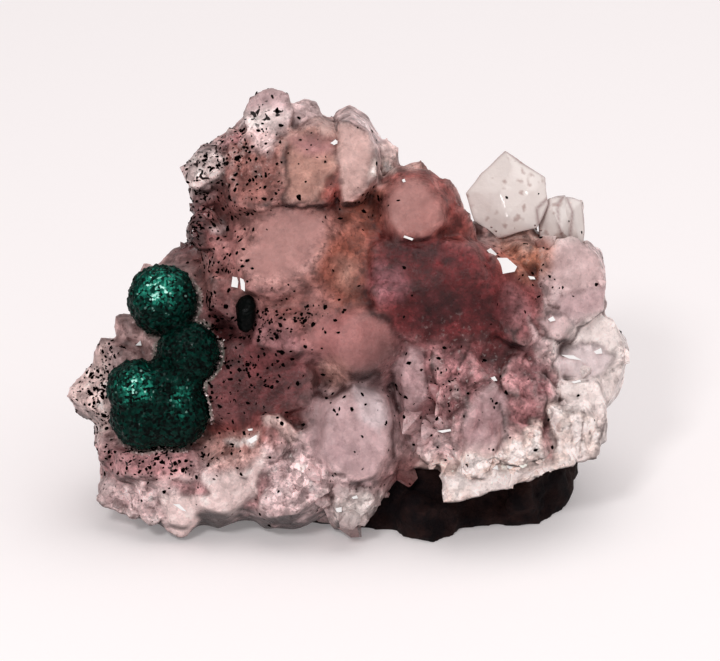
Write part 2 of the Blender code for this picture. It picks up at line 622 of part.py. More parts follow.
def surface_points(obj, spacing, tries, rng):
    """Points and outward normals spread over a body's surface, no two nearer than the spacing."""
    bm = bmesh.new()
    bm.from_mesh(obj.data)
    triangulated(bm)
    faces = [(f.calc_area(), [v.co.copy() for v in f.verts], f.normal.copy()) for f in bm.faces]
    bm.free()
    found = []
    for _, corners, normal in rng.choices(faces, weights=[area for area, _, _ in faces], k=tries):
        u, v = sorted((rng.random(), rng.random()))
        point = corners[0] * u + corners[1] * (v - u) + corners[2] * (1 - v)
        if all((point - other).length > spacing for other, _ in found):
            found.append((point, normal))
    return found


def inside_outline(across, up):
    """Whether a place lies within the show face's outline."""
    inside = False
    for (ax, ay), (bx, by) in zip(SHOW_OUTLINE, SHOW_OUTLINE[1:] + SHOW_OUTLINE[:1]):
        if (ay > up) != (by > up) and across < ax + (up - ay) / (by - ay) * (bx - ax):
            inside = not inside
    return inside


def within_show_face(point, radius):
    """Whether a crystal of a radius with its tip at a point keeps inside the show face's outline."""
    seen = Vector((point.dot(SHOW_RIGHT), point.dot(SHOW_UP)))
    outward = (seen - Vector(SHOW_MIDDLE)).normalized()
    return inside_outline(*seen) and inside_outline(*(seen + outward * radius * TIP_ROOM))


def near_malachite(point, reach):
    return any((point - show(*centre)).length < radius + reach for centre, radius in MALACHITE_BALLS.values())


def holds_druse(point, normal):
    """Whether a small crystal may be rooted at a place on the crust."""
    if near_malachite(point, -BALL_SOCKET) or point.z < DRUSE_LOWEST or point.y > DRUSE_BACK:
        return False
    if normal.z < DRUSE_OVERHANG:
        return False
    return normal.dot(SHOW_OUT) <= SHOW_FACE_LIMIT or near_malachite(point, COLLAR)


def druse(body):
    """Small crystals all over the crust except on its show face, where the named crystals stand."""
    rng = random.Random(DRUSE_SEED)
    bm = bmesh.new()
    for point, normal in surface_points(body, DRUSE_SPACING, DRUSE_TRIES, rng):
        radius = rng.uniform(*DRUSE_RADIUS)
        lean = Vector([rng.gauss(0, DRUSE_LEAN) for _ in range(3)])
        rise = radius * rng.uniform(*DRUSE_RISE)
        if not holds_druse(point, normal):
            continue
        if near_malachite(point, COLLAR):
            rise = min(rise, COLLAR_RISE)
        axis = (normal + lean).normalized()
        while rise > DRUSE_MOST_SUNK and not within_show_face(point + axis * rise, radius):
            rise -= DRUSE_SINK_STEP
        tip = point + axis * rise
        append(bm, crystal(tip, axis, radius, DRUSE_LENGTH, rng, three_faced=radius < THREE_FACED_BELOW))
    return bm


def quartz_root():
    """The massive quartz: its swellings and its broken blocks, overlapping one another."""
    rng = random.Random(ROOT_SEED)
    masses = [mass(centre, radii) for centre, radii in QUARTZ_MASSES.values()]
    return masses + [triangulated(crust_block(*block, rng)) for block in CRUST_BLOCKS.values()]


def named_crystals():
    """The crystals, broad faces and knobs that show as single ones."""
    bm = bmesh.new()
    for name, (tip, axis, radius, length) in CRYSTALS.items():
        append(bm, crystal(show(*tip), show(*axis).normalized(), radius, length, random.Random(name)))
    for name, block in BROAD_FACES.items():
        append(bm, broad_face(*block, random.Random(name)))
    for centre, radii in QUARTZ_KNOBS.values():
        append(bm, mass(centre, radii))
    return bm


def material(name, colour, roughness):
    mat = bpy.data.materials.new(name)
    mat.use_nodes = True
    shader = mat.node_tree.nodes["Principled BSDF"]
    shader.inputs["Base Color"].default_value = (*colour, 1)
    shader.inputs["Roughness"].default_value = roughness
    shader.inputs["Metallic"].default_value = 0.0
    return mat


def finished(obj, name, mat, specimen):
    """Stores a worked solid as a sub-part: metres, its own material, under the specimen's empty."""
    mesh = obj.data
    mesh.transform(Matrix.Scale(MM, 4))
    mesh.materials.clear()
    mesh.materials.append(mat)
    bpy.data.objects.remove(obj)
    piece = bpy.data.objects.new(name, mesh)
    piece.parent = specimen
    bpy.context.scene.collection.objects.link(piece)
    return piece


def main():
    for obj in list(bpy.data.objects):
        bpy.data.objects.remove(obj)
    specimen = bpy.data.objects.new("specimen", None)
    bpy.context.scene.collection.objects.link(specimen)

    rock = joined("rock", host_rock())
    root = joined("root", quartz_root())
    small = working_object("small", druse(root))
    named = working_object("named", named_crystals())
    quartz = combined(root, "UNION", named, use_self=True)
    quartz = combined(quartz, "UNION", small, use_self=True)

    cluster = joined("cluster", [ball(*place) for place in MALACHITE_BALLS.values()])
    sockets = [ball(*place, GAP) for place in MALACHITE_BALLS.values()] + [bead(GAP)]
    quartz = combined(quartz, "DIFFERENCE", joined("sockets", sockets))
    quartz = combined(quartz, "DIFFERENCE", joined("rock_room", host_rock(GAP)))
    quartz = combined(quartz, "DIFFERENCE", working_object("beyond", half_space(*QUARTZ_UNDERSIDE)))
    keep_body(quartz)

    finished(rock, "matrix_rock", material("host rock", (0.045, 0.025, 0.024), 0.85), specimen)
    finished(quartz, "quartz_druse", material("quartz", (0.50, 0.32, 0.31), 0.25), specimen)
    finished(cluster, "malachite_cluster", material("malachite", (0.005, 0.075, 0.058), 0.6), specimen)
    lone = working_object("lone", bead())
    finished(lone, "malachite_bead", material("dark malachite", (0.003, 0.012, 0.012), 0.5), specimen)


main()
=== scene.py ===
"""The looks of a hand specimen of malachite on druzy quartz.

Sizes are in millimetres and are turned to metres where a piece is made. Places on the specimen are given in
its show face's own directions: across (right), up (up the face) and out (towards a viewer who looks down on
it by SHOW_TILT). Across and up are 0 at the middle of the base. A patch is a soft oval on the show face: its
middle (across, up), its half size and its strength. A place's share of something runs from 0 to 1.
"""

import math
import random

import bmesh
import bpy
import numpy as np
from mathutils import Matrix, Vector, noise
from mathutils.bvhtree import BVHTree


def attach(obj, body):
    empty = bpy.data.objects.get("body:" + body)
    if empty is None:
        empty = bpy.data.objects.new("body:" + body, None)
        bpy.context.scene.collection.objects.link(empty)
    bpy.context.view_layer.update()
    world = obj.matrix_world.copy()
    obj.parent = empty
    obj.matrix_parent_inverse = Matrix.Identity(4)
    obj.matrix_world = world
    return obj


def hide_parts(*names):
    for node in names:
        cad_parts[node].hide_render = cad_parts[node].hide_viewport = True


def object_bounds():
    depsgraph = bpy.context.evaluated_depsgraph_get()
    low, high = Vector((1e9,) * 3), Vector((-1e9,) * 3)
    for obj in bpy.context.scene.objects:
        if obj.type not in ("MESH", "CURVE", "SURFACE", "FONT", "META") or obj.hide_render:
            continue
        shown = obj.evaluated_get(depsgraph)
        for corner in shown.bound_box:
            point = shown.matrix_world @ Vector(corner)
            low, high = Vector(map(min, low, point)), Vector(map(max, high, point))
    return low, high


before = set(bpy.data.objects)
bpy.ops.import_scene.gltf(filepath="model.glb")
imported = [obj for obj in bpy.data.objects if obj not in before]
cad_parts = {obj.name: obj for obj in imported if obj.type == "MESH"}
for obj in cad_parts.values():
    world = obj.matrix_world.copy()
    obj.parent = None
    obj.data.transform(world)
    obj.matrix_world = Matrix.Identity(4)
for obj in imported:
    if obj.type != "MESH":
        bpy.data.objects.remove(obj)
cad_low, cad_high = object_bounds()
noise.seed_set(4)  # noise_vector takes its seed from the clock without this

MM = 0.001
SHOW_TILT = math.radians(25)
SHOW_RIGHT = Vector((1, 0, 0))
SHOW_UP = Vector((0, math.sin(SHOW_TILT), math.cos(SHOW_TILT)))
SHOW_OUT = Vector((0, -math.cos(SHOW_TILT), math.sin(SHOW_TILT)))

CAMERA_DISTANCE = 400.0
VIEW_WIDTH = 58.5  # the width of the picture at the specimen
VIEW_MIDDLE = (1.06, 13.2, 5.0)
SENSOR = 36.0


# ---------------------------------------------------------------- shape helpers


def show(across, up, out):
    """A direction or place in the show face's terms, in the frame's."""
    return SHOW_RIGHT * across + SHOW_UP * up + SHOW_OUT * out


def mesh_from(name, bm):
    """A mesh from a bmesh, which is freed."""
    mesh = bpy.data.meshes.new(name)
    bm.to_mesh(mesh)
    bm.free()
    return mesh


def placed(name, data):
    """An object in the scene with this mesh, light or lens."""
    obj = bpy.data.objects.new(name, data)
    bpy.context.scene.collection.objects.link(obj)
    return obj


def piece_of(name, mesh, smooth_angle=None):
    """An object in metres from a mesh in millimetres, its edges sharp from an angle on."""
    mesh.name = name
    mesh.transform(Matrix.Scale(MM, 4))
    if smooth_angle is not None:
        mesh.shade_smooth()
        mesh.set_sharp_from_angle(angle=math.radians(smooth_angle))
    return placed(name, mesh)


def append(bm, shell):
    """Adds one bmesh to another, and frees it."""
    scratch = mesh_from("scratch", shell)
    bm.from_mesh(scratch)
    bpy.data.meshes.remove(scratch)


def from_node(node):
    """A bmesh, in millimetres, of a CAD node's shape."""
    bm = bmesh.new()
    bm.from_mesh(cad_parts[node].data)
    bm.transform(Matrix.Scale(1 / MM, 4))
    bmesh.ops.remove_doubles(bm, verts=bm.verts[:], dist=1e-4)
    return bm


def modified(obj, kind, *used, **settings):
    """An object's shape after one modifier, as a mesh; the object and the others used are removed."""
    modifier = obj.modifiers.new("shape", kind)
    for setting, value in settings.items():
        setattr(modifier, setting, value)
    graph = bpy.context.evaluated_depsgraph_get()
    mesh = bpy.data.meshes.new_from_object(obj.evaluated_get(graph))
    for gone in (obj, *used):
        bpy.data.objects.remove(gone)
    return mesh


def boolean(obj, operation, tool):
    """An object after an exact Boolean with a tool that may cross itself; both are removed."""
    name = obj.name
    mesh = modified(obj, "BOOLEAN", tool, operation=operation, solver="EXACT", use_self=True, object=tool)
    return placed(name, mesh)


def voxelled(name, bm, voxel):
    """A bmesh's shape as one even mesh; the bmesh is freed."""
    return modified(placed(name, mesh_from(name, bm)), "REMESH", mode="VOXEL", voxel_size=voxel)


def joined(name, shells):
    """One object, in millimetres, from closed shells that overlap."""
    parts = []
    for some in (shells[:1], shells[1:]):
        bm = bmesh.new()
        for shell in some:
            append(bm, shell)
        parts.append(placed(name, mesh_from(name, bm)))
    return boolean(parts[0], "UNION", parts[1])


def ball(bm, centre, radii, subdivisions=4):
    """Adds one ball, stretched along across, up and out."""
    shell = bmesh.new()
    bmesh.ops.create_icosphere(shell, subdivisions=subdivisions, radius=1)
    for vert in shell.verts:
        vert.co = show(*centre) + show(*(vert.co * Vector(radii)))
    append(bm, shell)


# ---------------------------------------------------------------- where the quartz differs

# The quartz's stains: colour, then the patches of it.
STAINS = {
    "milky": ("#e6d7d3", [
        ((12.8, 24.6), (3.6, 3.0), 1.6), ((17.6, 22.4), (2.4, 2.0), 1.5), ((20.4, 11.6), (3.0, 3.2), 1.6),
        ((19.0, 5.2), (2.0, 3.0), 1.8), ((0.4, -0.8), (1.5, 1.1), 1.0), ((17.0, 11.6), (1.4, 2.6), 0.7),
    ]),
    "buff": ("#f8dfd6", [
        ((12.8, 1.8), (4.6, 1.8), 2.6), ((9.4, 1.0), (1.8, 1.4), 1.8), ((15.0, 3.4), (2.0, 1.2), 1.6),
    ]),
    "pale_pink": ("#c8acab", [
        ((-6.3, 31.2), (2.4, 1.6), 1.0), ((-3.0, 31.0), (1.6, 1.4), 0.9), ((-11.6, 26.2), (1.6, 1.8), 1.0),
        ((1.2, 27.6), (1.5, 2.8), 1.4), ((-21.0, 8.4), (2.0, 2.6), 1.0), ((-9.6, 0.4), (2.8, 2.0), 1.4),
        ((-15.4, -1.0), (4.0, 1.6), 1.2), ((19.6, 17.6), (1.6, 3.4), 1.0),
    ]),
    "rose": ("#a4746f", [
        ((-4.6, 20.0), (3.2, 3.0), 1.8), ((5.4, 23.2), (1.7, 2.1), 1.8), ((1.8, 12.2), (1.6, 2.0), 1.2),
    ]),
    "tan": ("#a4786c", [((-2.9, 26.6), (2.0, 2.8), 1.5), ((-0.4, 9.6), (1.6, 1.4), 0.5)]),
    "grey_mauve": ("#c3a5a5", [
        ((-3.8, 1.4), (3.4, 2.6), 1.2), ((0.4, 5.0), (2.8, 3.4), 1.4), ((3.8, 27.8), (1.6, 1.4), 1.0),
        ((18.4, 14.6), (2.0, 3.0), 0.8), ((7.0, 4.8), (2.8, 1.6), 1.2),
    ]),
    "mauve": ("#a57173", [
        ((7.6, 9.0), (4.4, 3.2), 1.2), ((15.0, 9.0), (1.8, 3.6), 1.1), ((9.6, 5.0), (3.0, 1.4), 0.7),
        ((-9.8, 19.6), (1.8, 2.4), 0.8), ((-4.6, 13.6), (3.4, 1.8), 0.9), ((-16.0, 2.6), (3.8, 1.2), 0.8),
    ]),
    "olive": ("#85493b", [
        ((-0.3, 18.6), (1.5, 3.8), 1.5), ((1.4, 23.0), (1.2, 1.6), 1.0), ((14.8, 19.6), (2.2, 1.8), 1.4),
    ]),
    "umber": ("#86544d", [((-7.8, 25.6), (2.2, 3.0), 1.4), ((-9.6, 19.4), (2.0, 2.8), 1.2)]),
    "rust": ("#8a433c", [
        ((-9.2, 4.6), (2.4, 0.9), 1.0), ((-5.6, 6.2), (1.4, 1.1), 0.8), ((5.4, 26.2), (3.0, 0.7), 1.4),
        ((9.0, 22.8), (1.1, 2.6), 1.3), ((2.4, 20.4), (0.7, 2.0), 0.9), ((12.4, 18.6), (1.4, 1.4), 0.8),
    ]),
    # Dark mauve: the quartz's own colour, and on the dusky face partly painted shade, as that face lies in
    # shade.
    "dusky": ("#522426", [
        ((-7.2, 10.0), (3.4, 3.2), 1.6), ((-10.2, 12.2), (1.4, 3.6), 1.2), ((-12.2, 21.6), (1.4, 1.8), 1.4),
        ((-9.6, 24.6), (2.0, 2.0), 0.6),
    ]),
    "smoky": ("#5c191c", [
        ((6.6, 18.4), (4.2, 2.2), 1.8), ((7.6, 14.4), (4.0, 2.0), 1.6), ((13.4, 15.0), (1.8, 3.0), 1.2),
        ((-1.0, 24.6), (0.6, 1.6), 1.6), ((5.0, 1.6), (1.5, 2.0), 0.6), ((11.4, 11.6), (2.4, 1.6), 0.7),
    ]),
    "night": ("#2b1013", []),
    "glow": ("#8b565c", []),
    "wine": ("#6b2b28", []),
    "salmon": ("#9c6563", []),
    "blush": ("#cfb2ac", []),
    "broad_pink": ("#bd9890", []),
    "rust_pink": ("#d2aaa2", []),
    "plum": ("#915c60", []),
    "icy": ("#c9b8ba", []),
    "mauve_grey": ("#aa8c8e", []),
    "white": ("#f6dfd7", []),
    "core": ("#a07570", []),
    "shell": ("#e0c9c5", []),
    "olive_tan": ("#ab7058", []),
}
PLAIN_QUARTZ = "#977876"  # the sides and the back, where no stain reaches
PLAIN_WEIGHT = 0.05
SEAM_AND_CREASE_SHADE = "#2e0f0f"  # the dark of seams and crystal outlines, and painted shade with some iron stain in the creases
WORN_AND_LIT_EDGE = "#f9eae6"  # worn crystal edges, lightened partly as painted highlight
FRINGE = "#a8aaa0"  # quartz along the malachite
UNDERSIDE_SHADE = "#1b1013"  # painted shade where the crust hangs over
QUARTZ_LIGHT = 1.26
CLOUDY = 0.9  # how strongly the quartz is clouded
CLOUD_TINT = (0.78, 1.0, 1.0)  # clouds are paler in green and blue than in red

# Where black specks crowd; a strength is a number of specks to a square millimetre.
SPECK_PATCHES = [
    ((-6.8, 30.0), (2.4, 1.4), 1.6), ((-9.6, 27.2), (3.0, 2.6), 3.0), ((-7.6, 25.0), (2.8, 3.4), 2.2),
    ((-12.0, 23.0), (1.6, 2.6), 3.2), ((-9.8, 19.0), (2.4, 2.4), 1.6), ((-2.8, 27.6), (2.2, 2.6), 0.7),
    ((1.2, 23.2), (1.8, 1.8), 1.6), ((-10.6, 13.0), (1.6, 3.6), 3.2), ((-4.8, 13.6), (3.8, 1.6), 4.2),
    ((-8.2, 9.4), (3.4, 3.4), 2.2), ((-19.6, 8.6), (1.9, 3.0), 4.2), ((-15.6, 3.2), (4.2, 1.6), 4.2),
    ((-9.0, 4.2), (2.6, 1.2), 1.2), ((-1.0, 7.6), (2.8, 1.2), 1.4), ((0.4, 4.0), (2.6, 2.6), 0.4),
    ((7.6, 7.6), (5.0, 3.8), 0.9), ((15.4, 17.0), (3.4, 3.0), 0.6), ((13.0, 24.6), (2.4, 1.8), 0.12),
]
SPECKS_EVERYWHERE = 0.05

# Where the surface is broken into small blocks, and where it is fused smooth.
BLOCKY_PATCHES = [
    ((-9.0, 0.6), (3.4, 2.4), 0.9), ((-16.4, -0.6), (4.0, 2.2), 0.8), ((-3.6, 1.6), (3.8, 3.0), 1.0),
    ((0.8, 5.0), (3.0, 3.6), 0.3), ((12.6, 2.2), (5.2, 2.2), 1.0), ((20.0, 10.4), (3.0, 4.4), 0.5),
    ((14.6, 21.0), (3.0, 2.0), 0.7), ((-9.0, 27.6), (3.4, 3.0), 0.7), ((-19.4, 6.4), (2.4, 4.4), 0.4),
]
SMOOTH_PATCHES = [
    ((-4.6, 20.0), (3.4, 3.2), 1.0), ((5.4, 23.2), (2.6, 2.6), 1.0), ((0.6, 26.8), (1.8, 3.4), 0.7),
    ((-2.8, 26.6), (2.0, 3.0), 0.6), ((0.8, 12.0), (3.0, 3.0), 1.0), ((-0.3, 18.6), (1.8, 3.8), 1.0),
    ((7.0, 17.0), (5.0, 3.6), 1.0), ((7.6, 12.8), (5.0, 1.6), 1.0), ((-4.8, 16.4), (4.0, 1.6), 1.0),
    ((-8.4, 5.0), (3.0, 1.6), 0.9), ((-2.0, 12.0), (2.0, 3.0), 0.8), ((-4.6, 13.8), (4.0, 2.0), 0.8),
    ((-7.4, 9.6), (4.0, 3.6), 0.8), ((14.2, 20.9), (2.8, 1.2), 0.9), ((-10.2, -0.4), (3.6, 2.4), 0.9),
    ((20.0, 10.6), (2.6, 3.6), 0.5), ((0.6, 5.0), (3.0, 3.6), 0.8), ((18.4, 4.6), (2.0, 2.6), 0.6),
]
# Where the iron oxide grew in short dark worms.
MARBLED_PATCHES = [
    ((-11.4, 26.0), (1.8, 1.8), 0.6), ((-6.8, 30.6), (2.0, 1.0), 0.7), ((-12.0, 21.4), (1.2, 1.6), 0.8),
    ((-19.8, 8.4), (1.2, 2.4), 0.6), ((-15.4, 3.2), (3.4, 1.2), 0.7),
]
# Where the crust is ribbed, fibrous or granular.
RIBBED_PATCHES = [
    ((8.4, 8.2), (5.2, 4.2), 1.0), ((15.4, 9.6), (2.0, 4.0), 0.8), ((18.6, 5.2), (2.2, 3.2), 0.8),
]
FIBRE_PATCHES = [((18.4, 4.6), (1.6, 2.2), 0.5)]
CRUST_PATCHES = [((12.8, 2.0), (5.0, 1.8), 1.0)]

# Crystal faces of the show side: stain, how far it stands out (None if it is only colour), how dark its
# outline is, over how much its border fades, and its outline (across, up).
CRYSTAL_FACES = {
    "olive_upper": ("olive", None, 0.0, 0.6, [
        (0.2, 22.6), (0.8, 24.0), (2.4, 24.8), (3.3, 25.2), (3.3, 23.0), (2.4, 21.6), (1.8, 20.4),
        (0.6, 20.8),
    ]),
    "olive_dark": ("night", None, 0.0, 0.5, [(2.0, 23.8), (3.3, 24.1), (3.3, 22.8), (2.1, 22.6)]),
    "olive_lower": ("olive", None, 0.0, 0.7, [
        (-1.6, 20.4), (0.8, 20.6), (1.6, 19.6), (1.3, 17.4), (1.2, 15.6), (-0.2, 15.8), (-2.4, 16.8),
        (-3.4, 17.3), (-2.4, 18.6),
    ]),
    "olive_light": ("tan", None, 0.0, 0.7, [
        (-0.7, 18.8), (0.6, 19.0), (0.9, 17.6), (0.2, 16.4), (-0.8, 17.0),
    ]),
    "freckled": ("umber", None, 0.0, 0.8, [
        (-7.6, 16.0), (-3.6, 16.4), (-0.6, 15.6), (-1.2, 13.6), (-1.4, 11.6), (-3.4, 12.4), (-5.8, 14.0),
        (-7.0, 14.6),
    ]),
    "ridge": ("mauve", 0.05, 0.3, 0.3, [
        (-10.6, 28.2), (-9.8, 29.0), (-8.6, 29.2), (-8.0, 28.6), (-9.0, 28.0), (-10.2, 27.7),
    ]),
    "speckled_white": ("pale_pink", 0.05, 0.1, 0.4, [
        (-8.0, 29.0), (-6.0, 29.2), (-5.6, 28.4), (-6.4, 27.3), (-7.6, 27.5),
    ]),
    "knob_below": ("night", None, 0.0, 0.4, [
        (-12.8, 21.2), (-12.2, 22.3), (-11.2, 22.5), (-10.6, 22.0), (-11.0, 20.4), (-12.4, 19.8),
    ]),
    "knob_below_face": ("pale_pink", 0.1, 0.3, 0.2, [
        (-11.0, 21.4), (-10.2, 22.0), (-9.6, 21.6), (-9.9, 20.8), (-10.8, 20.9),
    ]),
    "peak": ("mauve_grey", 0.12, 0.45, 0.2, [
        (-8.5, 30.3), (-7.6, 31.8), (-6.5, 32.7), (-4.7, 32.4), (-4.5, 31.2), (-4.2, 29.9), (-6.0, 29.3),
        (-8.6, 29.6),
    ]),
    "peak_foot": ("milky", None, 0.0, 0.6, [
        (-8.4, 30.4), (-6.6, 30.9), (-4.8, 30.4), (-5.6, 29.4), (-8.2, 29.7),
    ]),
    "peak_second": ("pale_pink", 0.08, 0.3, 0.2, [
        (-4.3, 31.6), (-3.2, 31.8), (-2.6, 31.2), (-2.2, 30.3), (-4.0, 30.1),
    ]),
    "knob": ("shell", 0.05, 0.25, 0.3, [
        (-13.0, 25.8), (-12.2, 27.1), (-11.0, 27.5), (-9.9, 26.9), (-10.0, 25.6), (-11.2, 24.7),
        (-12.4, 24.3), (-13.1, 24.8),
    ]),
    "broad": ("broad_pink", 0.15, 0.3, 0.25, [
        (-2.9, 30.1), (-1.4, 30.2), (0.2, 29.8), (1.7, 29.1), (2.2, 28.2), (2.0, 26.4), (1.9, 25.0),
        (0.6, 24.2), (-0.1, 23.3), (-0.5, 24.2), (-0.5, 26.0), (-0.8, 28.3), (-2.0, 28.9),
    ]),
    "tan": ("tan", 0.15, 0.3, 0.2, [
        (-4.9, 23.3), (-4.8, 27.4), (-4.6, 28.7), (-2.2, 28.9), (-1.0, 28.1), (-0.6, 26.1), (-1.6, 24.9),
        (-2.2, 24.0), (-3.0, 23.3),
    ]),
    "tan_upper": ("mauve", None, 0.0, 0.5, [
        (-4.6, 28.7), (-2.2, 28.9), (-1.0, 28.1), (-1.1, 27.3), (-2.6, 27.2), (-4.2, 27.8),
    ]),
    "wedge": ("rust", 0.0, 0.3, 0.3, [
        (-0.5, 26.1), (-0.5, 24.0), (-1.0, 22.9), (-1.9, 22.9), (-2.2, 24.0), (-1.2, 25.2),
    ]),
    "pair_left": ("blush", 0.05, 0.5, 0.2, [
        (2.3, 28.2), (3.3, 28.8), (4.3, 28.4), (5.0, 27.2), (4.0, 26.2), (2.9, 25.5), (1.7, 25.0),
        (1.9, 26.4),
    ]),
    "pair_right": ("broad_pink", 0.0, 0.5, 0.2, [
        (5.0, 27.2), (6.2, 26.9), (6.7, 26.0), (5.6, 25.7), (4.2, 26.3),
    ]),
    "pair_flat": ("buff", 0.1, 0.5, 0.15, [
        (2.0, 26.9), (3.4, 27.1), (4.0, 26.0), (2.6, 25.3), (1.9, 25.8),
    ]),
    "oval_border": ("rust", 0.05, 0.4, 0.5, [
        (3.2, 25.4), (4.2, 26.2), (6.0, 25.9), (7.4, 25.7), (8.4, 25.1), (9.4, 23.4), (10.2, 22.1),
        (11.4, 21.8), (11.9, 21.1), (10.6, 20.4), (8.0, 20.7), (5.4, 20.2), (3.0, 20.9), (2.8, 23.0),
    ]),
    "oval_shade": ("wine", None, 0.0, 0.7, [
        (4.2, 26.0), (6.0, 25.9), (7.6, 25.5), (8.6, 24.8), (9.4, 23.4), (10.2, 22.1), (8.8, 21.2),
        (7.6, 21.0), (7.9, 22.2), (7.6, 23.4), (6.8, 24.6), (5.4, 25.3),
    ]),
    "oval": ("rose", 0.08, 0.1, 0.45, [
        (3.6, 24.7), (4.7, 25.2), (6.0, 25.0), (6.9, 24.2), (7.5, 23.0), (7.7, 22.1), (7.0, 21.1),
        (5.8, 20.5), (4.3, 20.8), (3.2, 21.4), (3.1, 22.9),
    ]),
    "oval_light": ("core", None, 0.0, 1.2, [
        (3.8, 24.2), (5.0, 24.6), (5.8, 23.6), (5.2, 22.0), (3.8, 21.8),
    ]),
    "great_pale": ("core", 0.06, 0.0, 1.3, [
        (-7.2, 21.4), (-6.4, 22.2), (-4.2, 22.8), (-1.9, 22.4), (-1.7, 21.6), (-2.6, 19.7), (-3.5, 18.5),
        (-4.4, 17.2), (-7.6, 17.8), (-8.0, 19.2), (-6.9, 20.3),
    ]),
    "smoky": ("smoky", 0.05, 0.15, 0.8, [
        (2.2, 20.8), (5.0, 20.2), (7.4, 20.2), (10.0, 20.6), (11.2, 19.8), (12.0, 18.2), (12.4, 16.6),
        (13.0, 15.2), (13.2, 14.0), (12.6, 12.8), (11.0, 12.4), (8.4, 12.0), (5.6, 12.4), (3.8, 12.5),
        (3.0, 13.9), (1.6, 15.0), (1.5, 17.0), (1.8, 19.2),
    ]),
    "smoky_end": ("mauve", None, 0.0, 0.8, [
        (12.8, 16.4), (14.2, 15.6), (15.0, 14.2), (14.4, 12.8), (13.2, 12.8), (12.8, 14.4),
    ]),
    "smoky_cloud": ("night", None, 0.0, 0.9, [
        (5.0, 17.0), (6.6, 17.2), (9.4, 16.2), (11.4, 15.4), (13.4, 15.8), (14.2, 14.5), (12.6, 13.6),
        (10.6, 14.6), (8.0, 13.6), (6.6, 12.8), (4.6, 13.6), (5.6, 15.2),
    ]),
    # Painted shade along the top of the smoky face.
    "smoky_upper": ("night", None, 0.0, 0.5, [
        (2.4, 20.4), (4.8, 20.0), (7.2, 19.9), (8.6, 19.0), (7.4, 18.7), (4.2, 19.2),
    ]),
    "smoky_glow": ("glow", None, 0.0, 0.5, [
        (2.2, 18.6), (4.4, 18.3), (5.0, 16.8), (4.4, 15.6), (2.6, 15.6), (1.8, 16.8),
    ]),
    "salmon": ("salmon", 0.0, 0.0, 0.6, [
        (-3.4, 12.9), (-1.6, 14.2), (0.3, 15.0), (2.2, 14.2), (3.9, 12.3), (3.2, 10.8), (0.4, 9.3),
        (-0.8, 10.6), (-2.4, 11.4),
    ]),
    "salmon_shade": ("night", None, 0.0, 1.2, [
        (0.4, 10.4), (1.2, 11.0), (2.2, 12.2), (3.2, 13.4), (4.2, 12.0), (3.6, 10.2), (1.6, 8.6),
        (0.0, 8.8),
    ]),
    # This face lies in shade: its dark stain is partly painted shade.
    "dusky": ("dusky", 0.0, 0.0, 0.6, [
        (-9.8, 12.6), (-6.8, 11.8), (-4.0, 11.0), (-2.4, 10.2), (-1.2, 9.6), (-2.0, 8.2), (-3.4, 5.8),
        (-6.8, 5.8), (-7.4, 5.2), (-9.8, 5.0), (-11.6, 6.6), (-11.6, 9.6),
    ]),
    "rust_hollow": ("rust_pink", -0.05, 0.2, 0.5, [
        (-11.8, 5.0), (-9.6, 4.7), (-7.0, 5.2), (-6.9, 3.5), (-7.8, 2.4), (-9.6, 2.0), (-10.9, 2.3),
        (-11.6, 3.6),
    ]),
    "hollow_stain": ("rust", None, 0.0, 1.6, [(-10.8, 3.6), (-7.8, 3.9), (-8.2, 3.0), (-9.8, 2.6)]),
    "hollow_lip": ("milky", 0.05, 0.2, 0.15, [
        (-9.9, 4.5), (-9.4, 4.0), (-7.6, 4.0), (-7.0, 4.6), (-7.2, 5.0), (-8.0, 4.5), (-9.2, 4.4),
    ]),
    "hook": ("blush", None, 0.4, 0.25, [
        (-6.8, 6.2), (-6.2, 6.6), (-5.0, 6.3), (-4.0, 5.4), (-3.6, 4.4), (-4.4, 4.2), (-5.4, 5.4),
        (-6.6, 5.8),
    ]),
    "left_tip": ("blush", 0.05, 0.3, 0.3, [
        (-22.7, 8.0), (-21.8, 9.2), (-21.0, 9.9), (-20.2, 11.6), (-19.4, 12.4), (-19.0, 9.0), (-19.0, 5.2),
        (-20.2, 4.4), (-21.0, 5.4), (-21.8, 7.0),
    ]),
    "skirt": ("shell", 0.1, 0.35, 0.3, [
        (-6.6, 3.6), (-6.5, 2.4), (-6.9, 1.2), (-7.2, 0.2), (-8.2, -0.8), (-8.6, -1.8), (-9.8, -2.6),
        (-10.6, -3.2), (-12.4, -3.0), (-13.2, -3.9), (-14.2, -3.4), (-14.7, -1.2), (-14.9, 0.2),
        (-12.8, -0.2), (-11.0, 0.0), (-11.3, 1.6), (-9.6, 2.0), (-8.0, 2.2),
    ]),
    "skirt_mauve": ("mauve", None, 0.5, 0.2, [
        (-14.4, 0.9), (-12.4, 1.2), (-11.2, 1.0), (-10.8, 0.4), (-11.6, -0.2), (-13.0, -0.1),
    ]),
    "skirt_left": ("grey_mauve", 0.05, 0.3, 0.3, [
        (-20.0, 1.0), (-18.6, 1.2), (-16.0, 0.8), (-15.0, 0.5), (-15.2, -0.9), (-16.2, -1.9), (-18.0, -1.8),
        (-19.6, -1.2), (-20.2, -0.3),
    ]),
    "skirt_side": ("mauve", -0.05, 0.5, 0.2, [
        (-7.0, 1.6), (-6.6, 1.8), (-6.1, 1.2), (-6.6, 0.2), (-7.6, -1.6), (-8.4, -1.4), (-7.2, 0.2),
    ]),
    "grey_upper": ("mauve_grey", 0.0, 0.0, 0.9, [
        (-2.4, 8.0), (-0.4, 7.9), (1.0, 9.0), (2.4, 8.9), (3.8, 7.0), (3.9, 5.6), (3.6, 4.0), (3.3, 2.8),
        (2.2, 1.4), (0.8, 1.0), (-0.6, 1.8), (-2.6, 3.0), (-3.3, 4.8), (-2.6, 6.8),
    ]),
    "grey_facet": ("icy", None, 0.1, 0.35, [(0.6, 8.6), (2.4, 8.6), (3.6, 6.8), (2.6, 5.0), (1.2, 6.2)]),
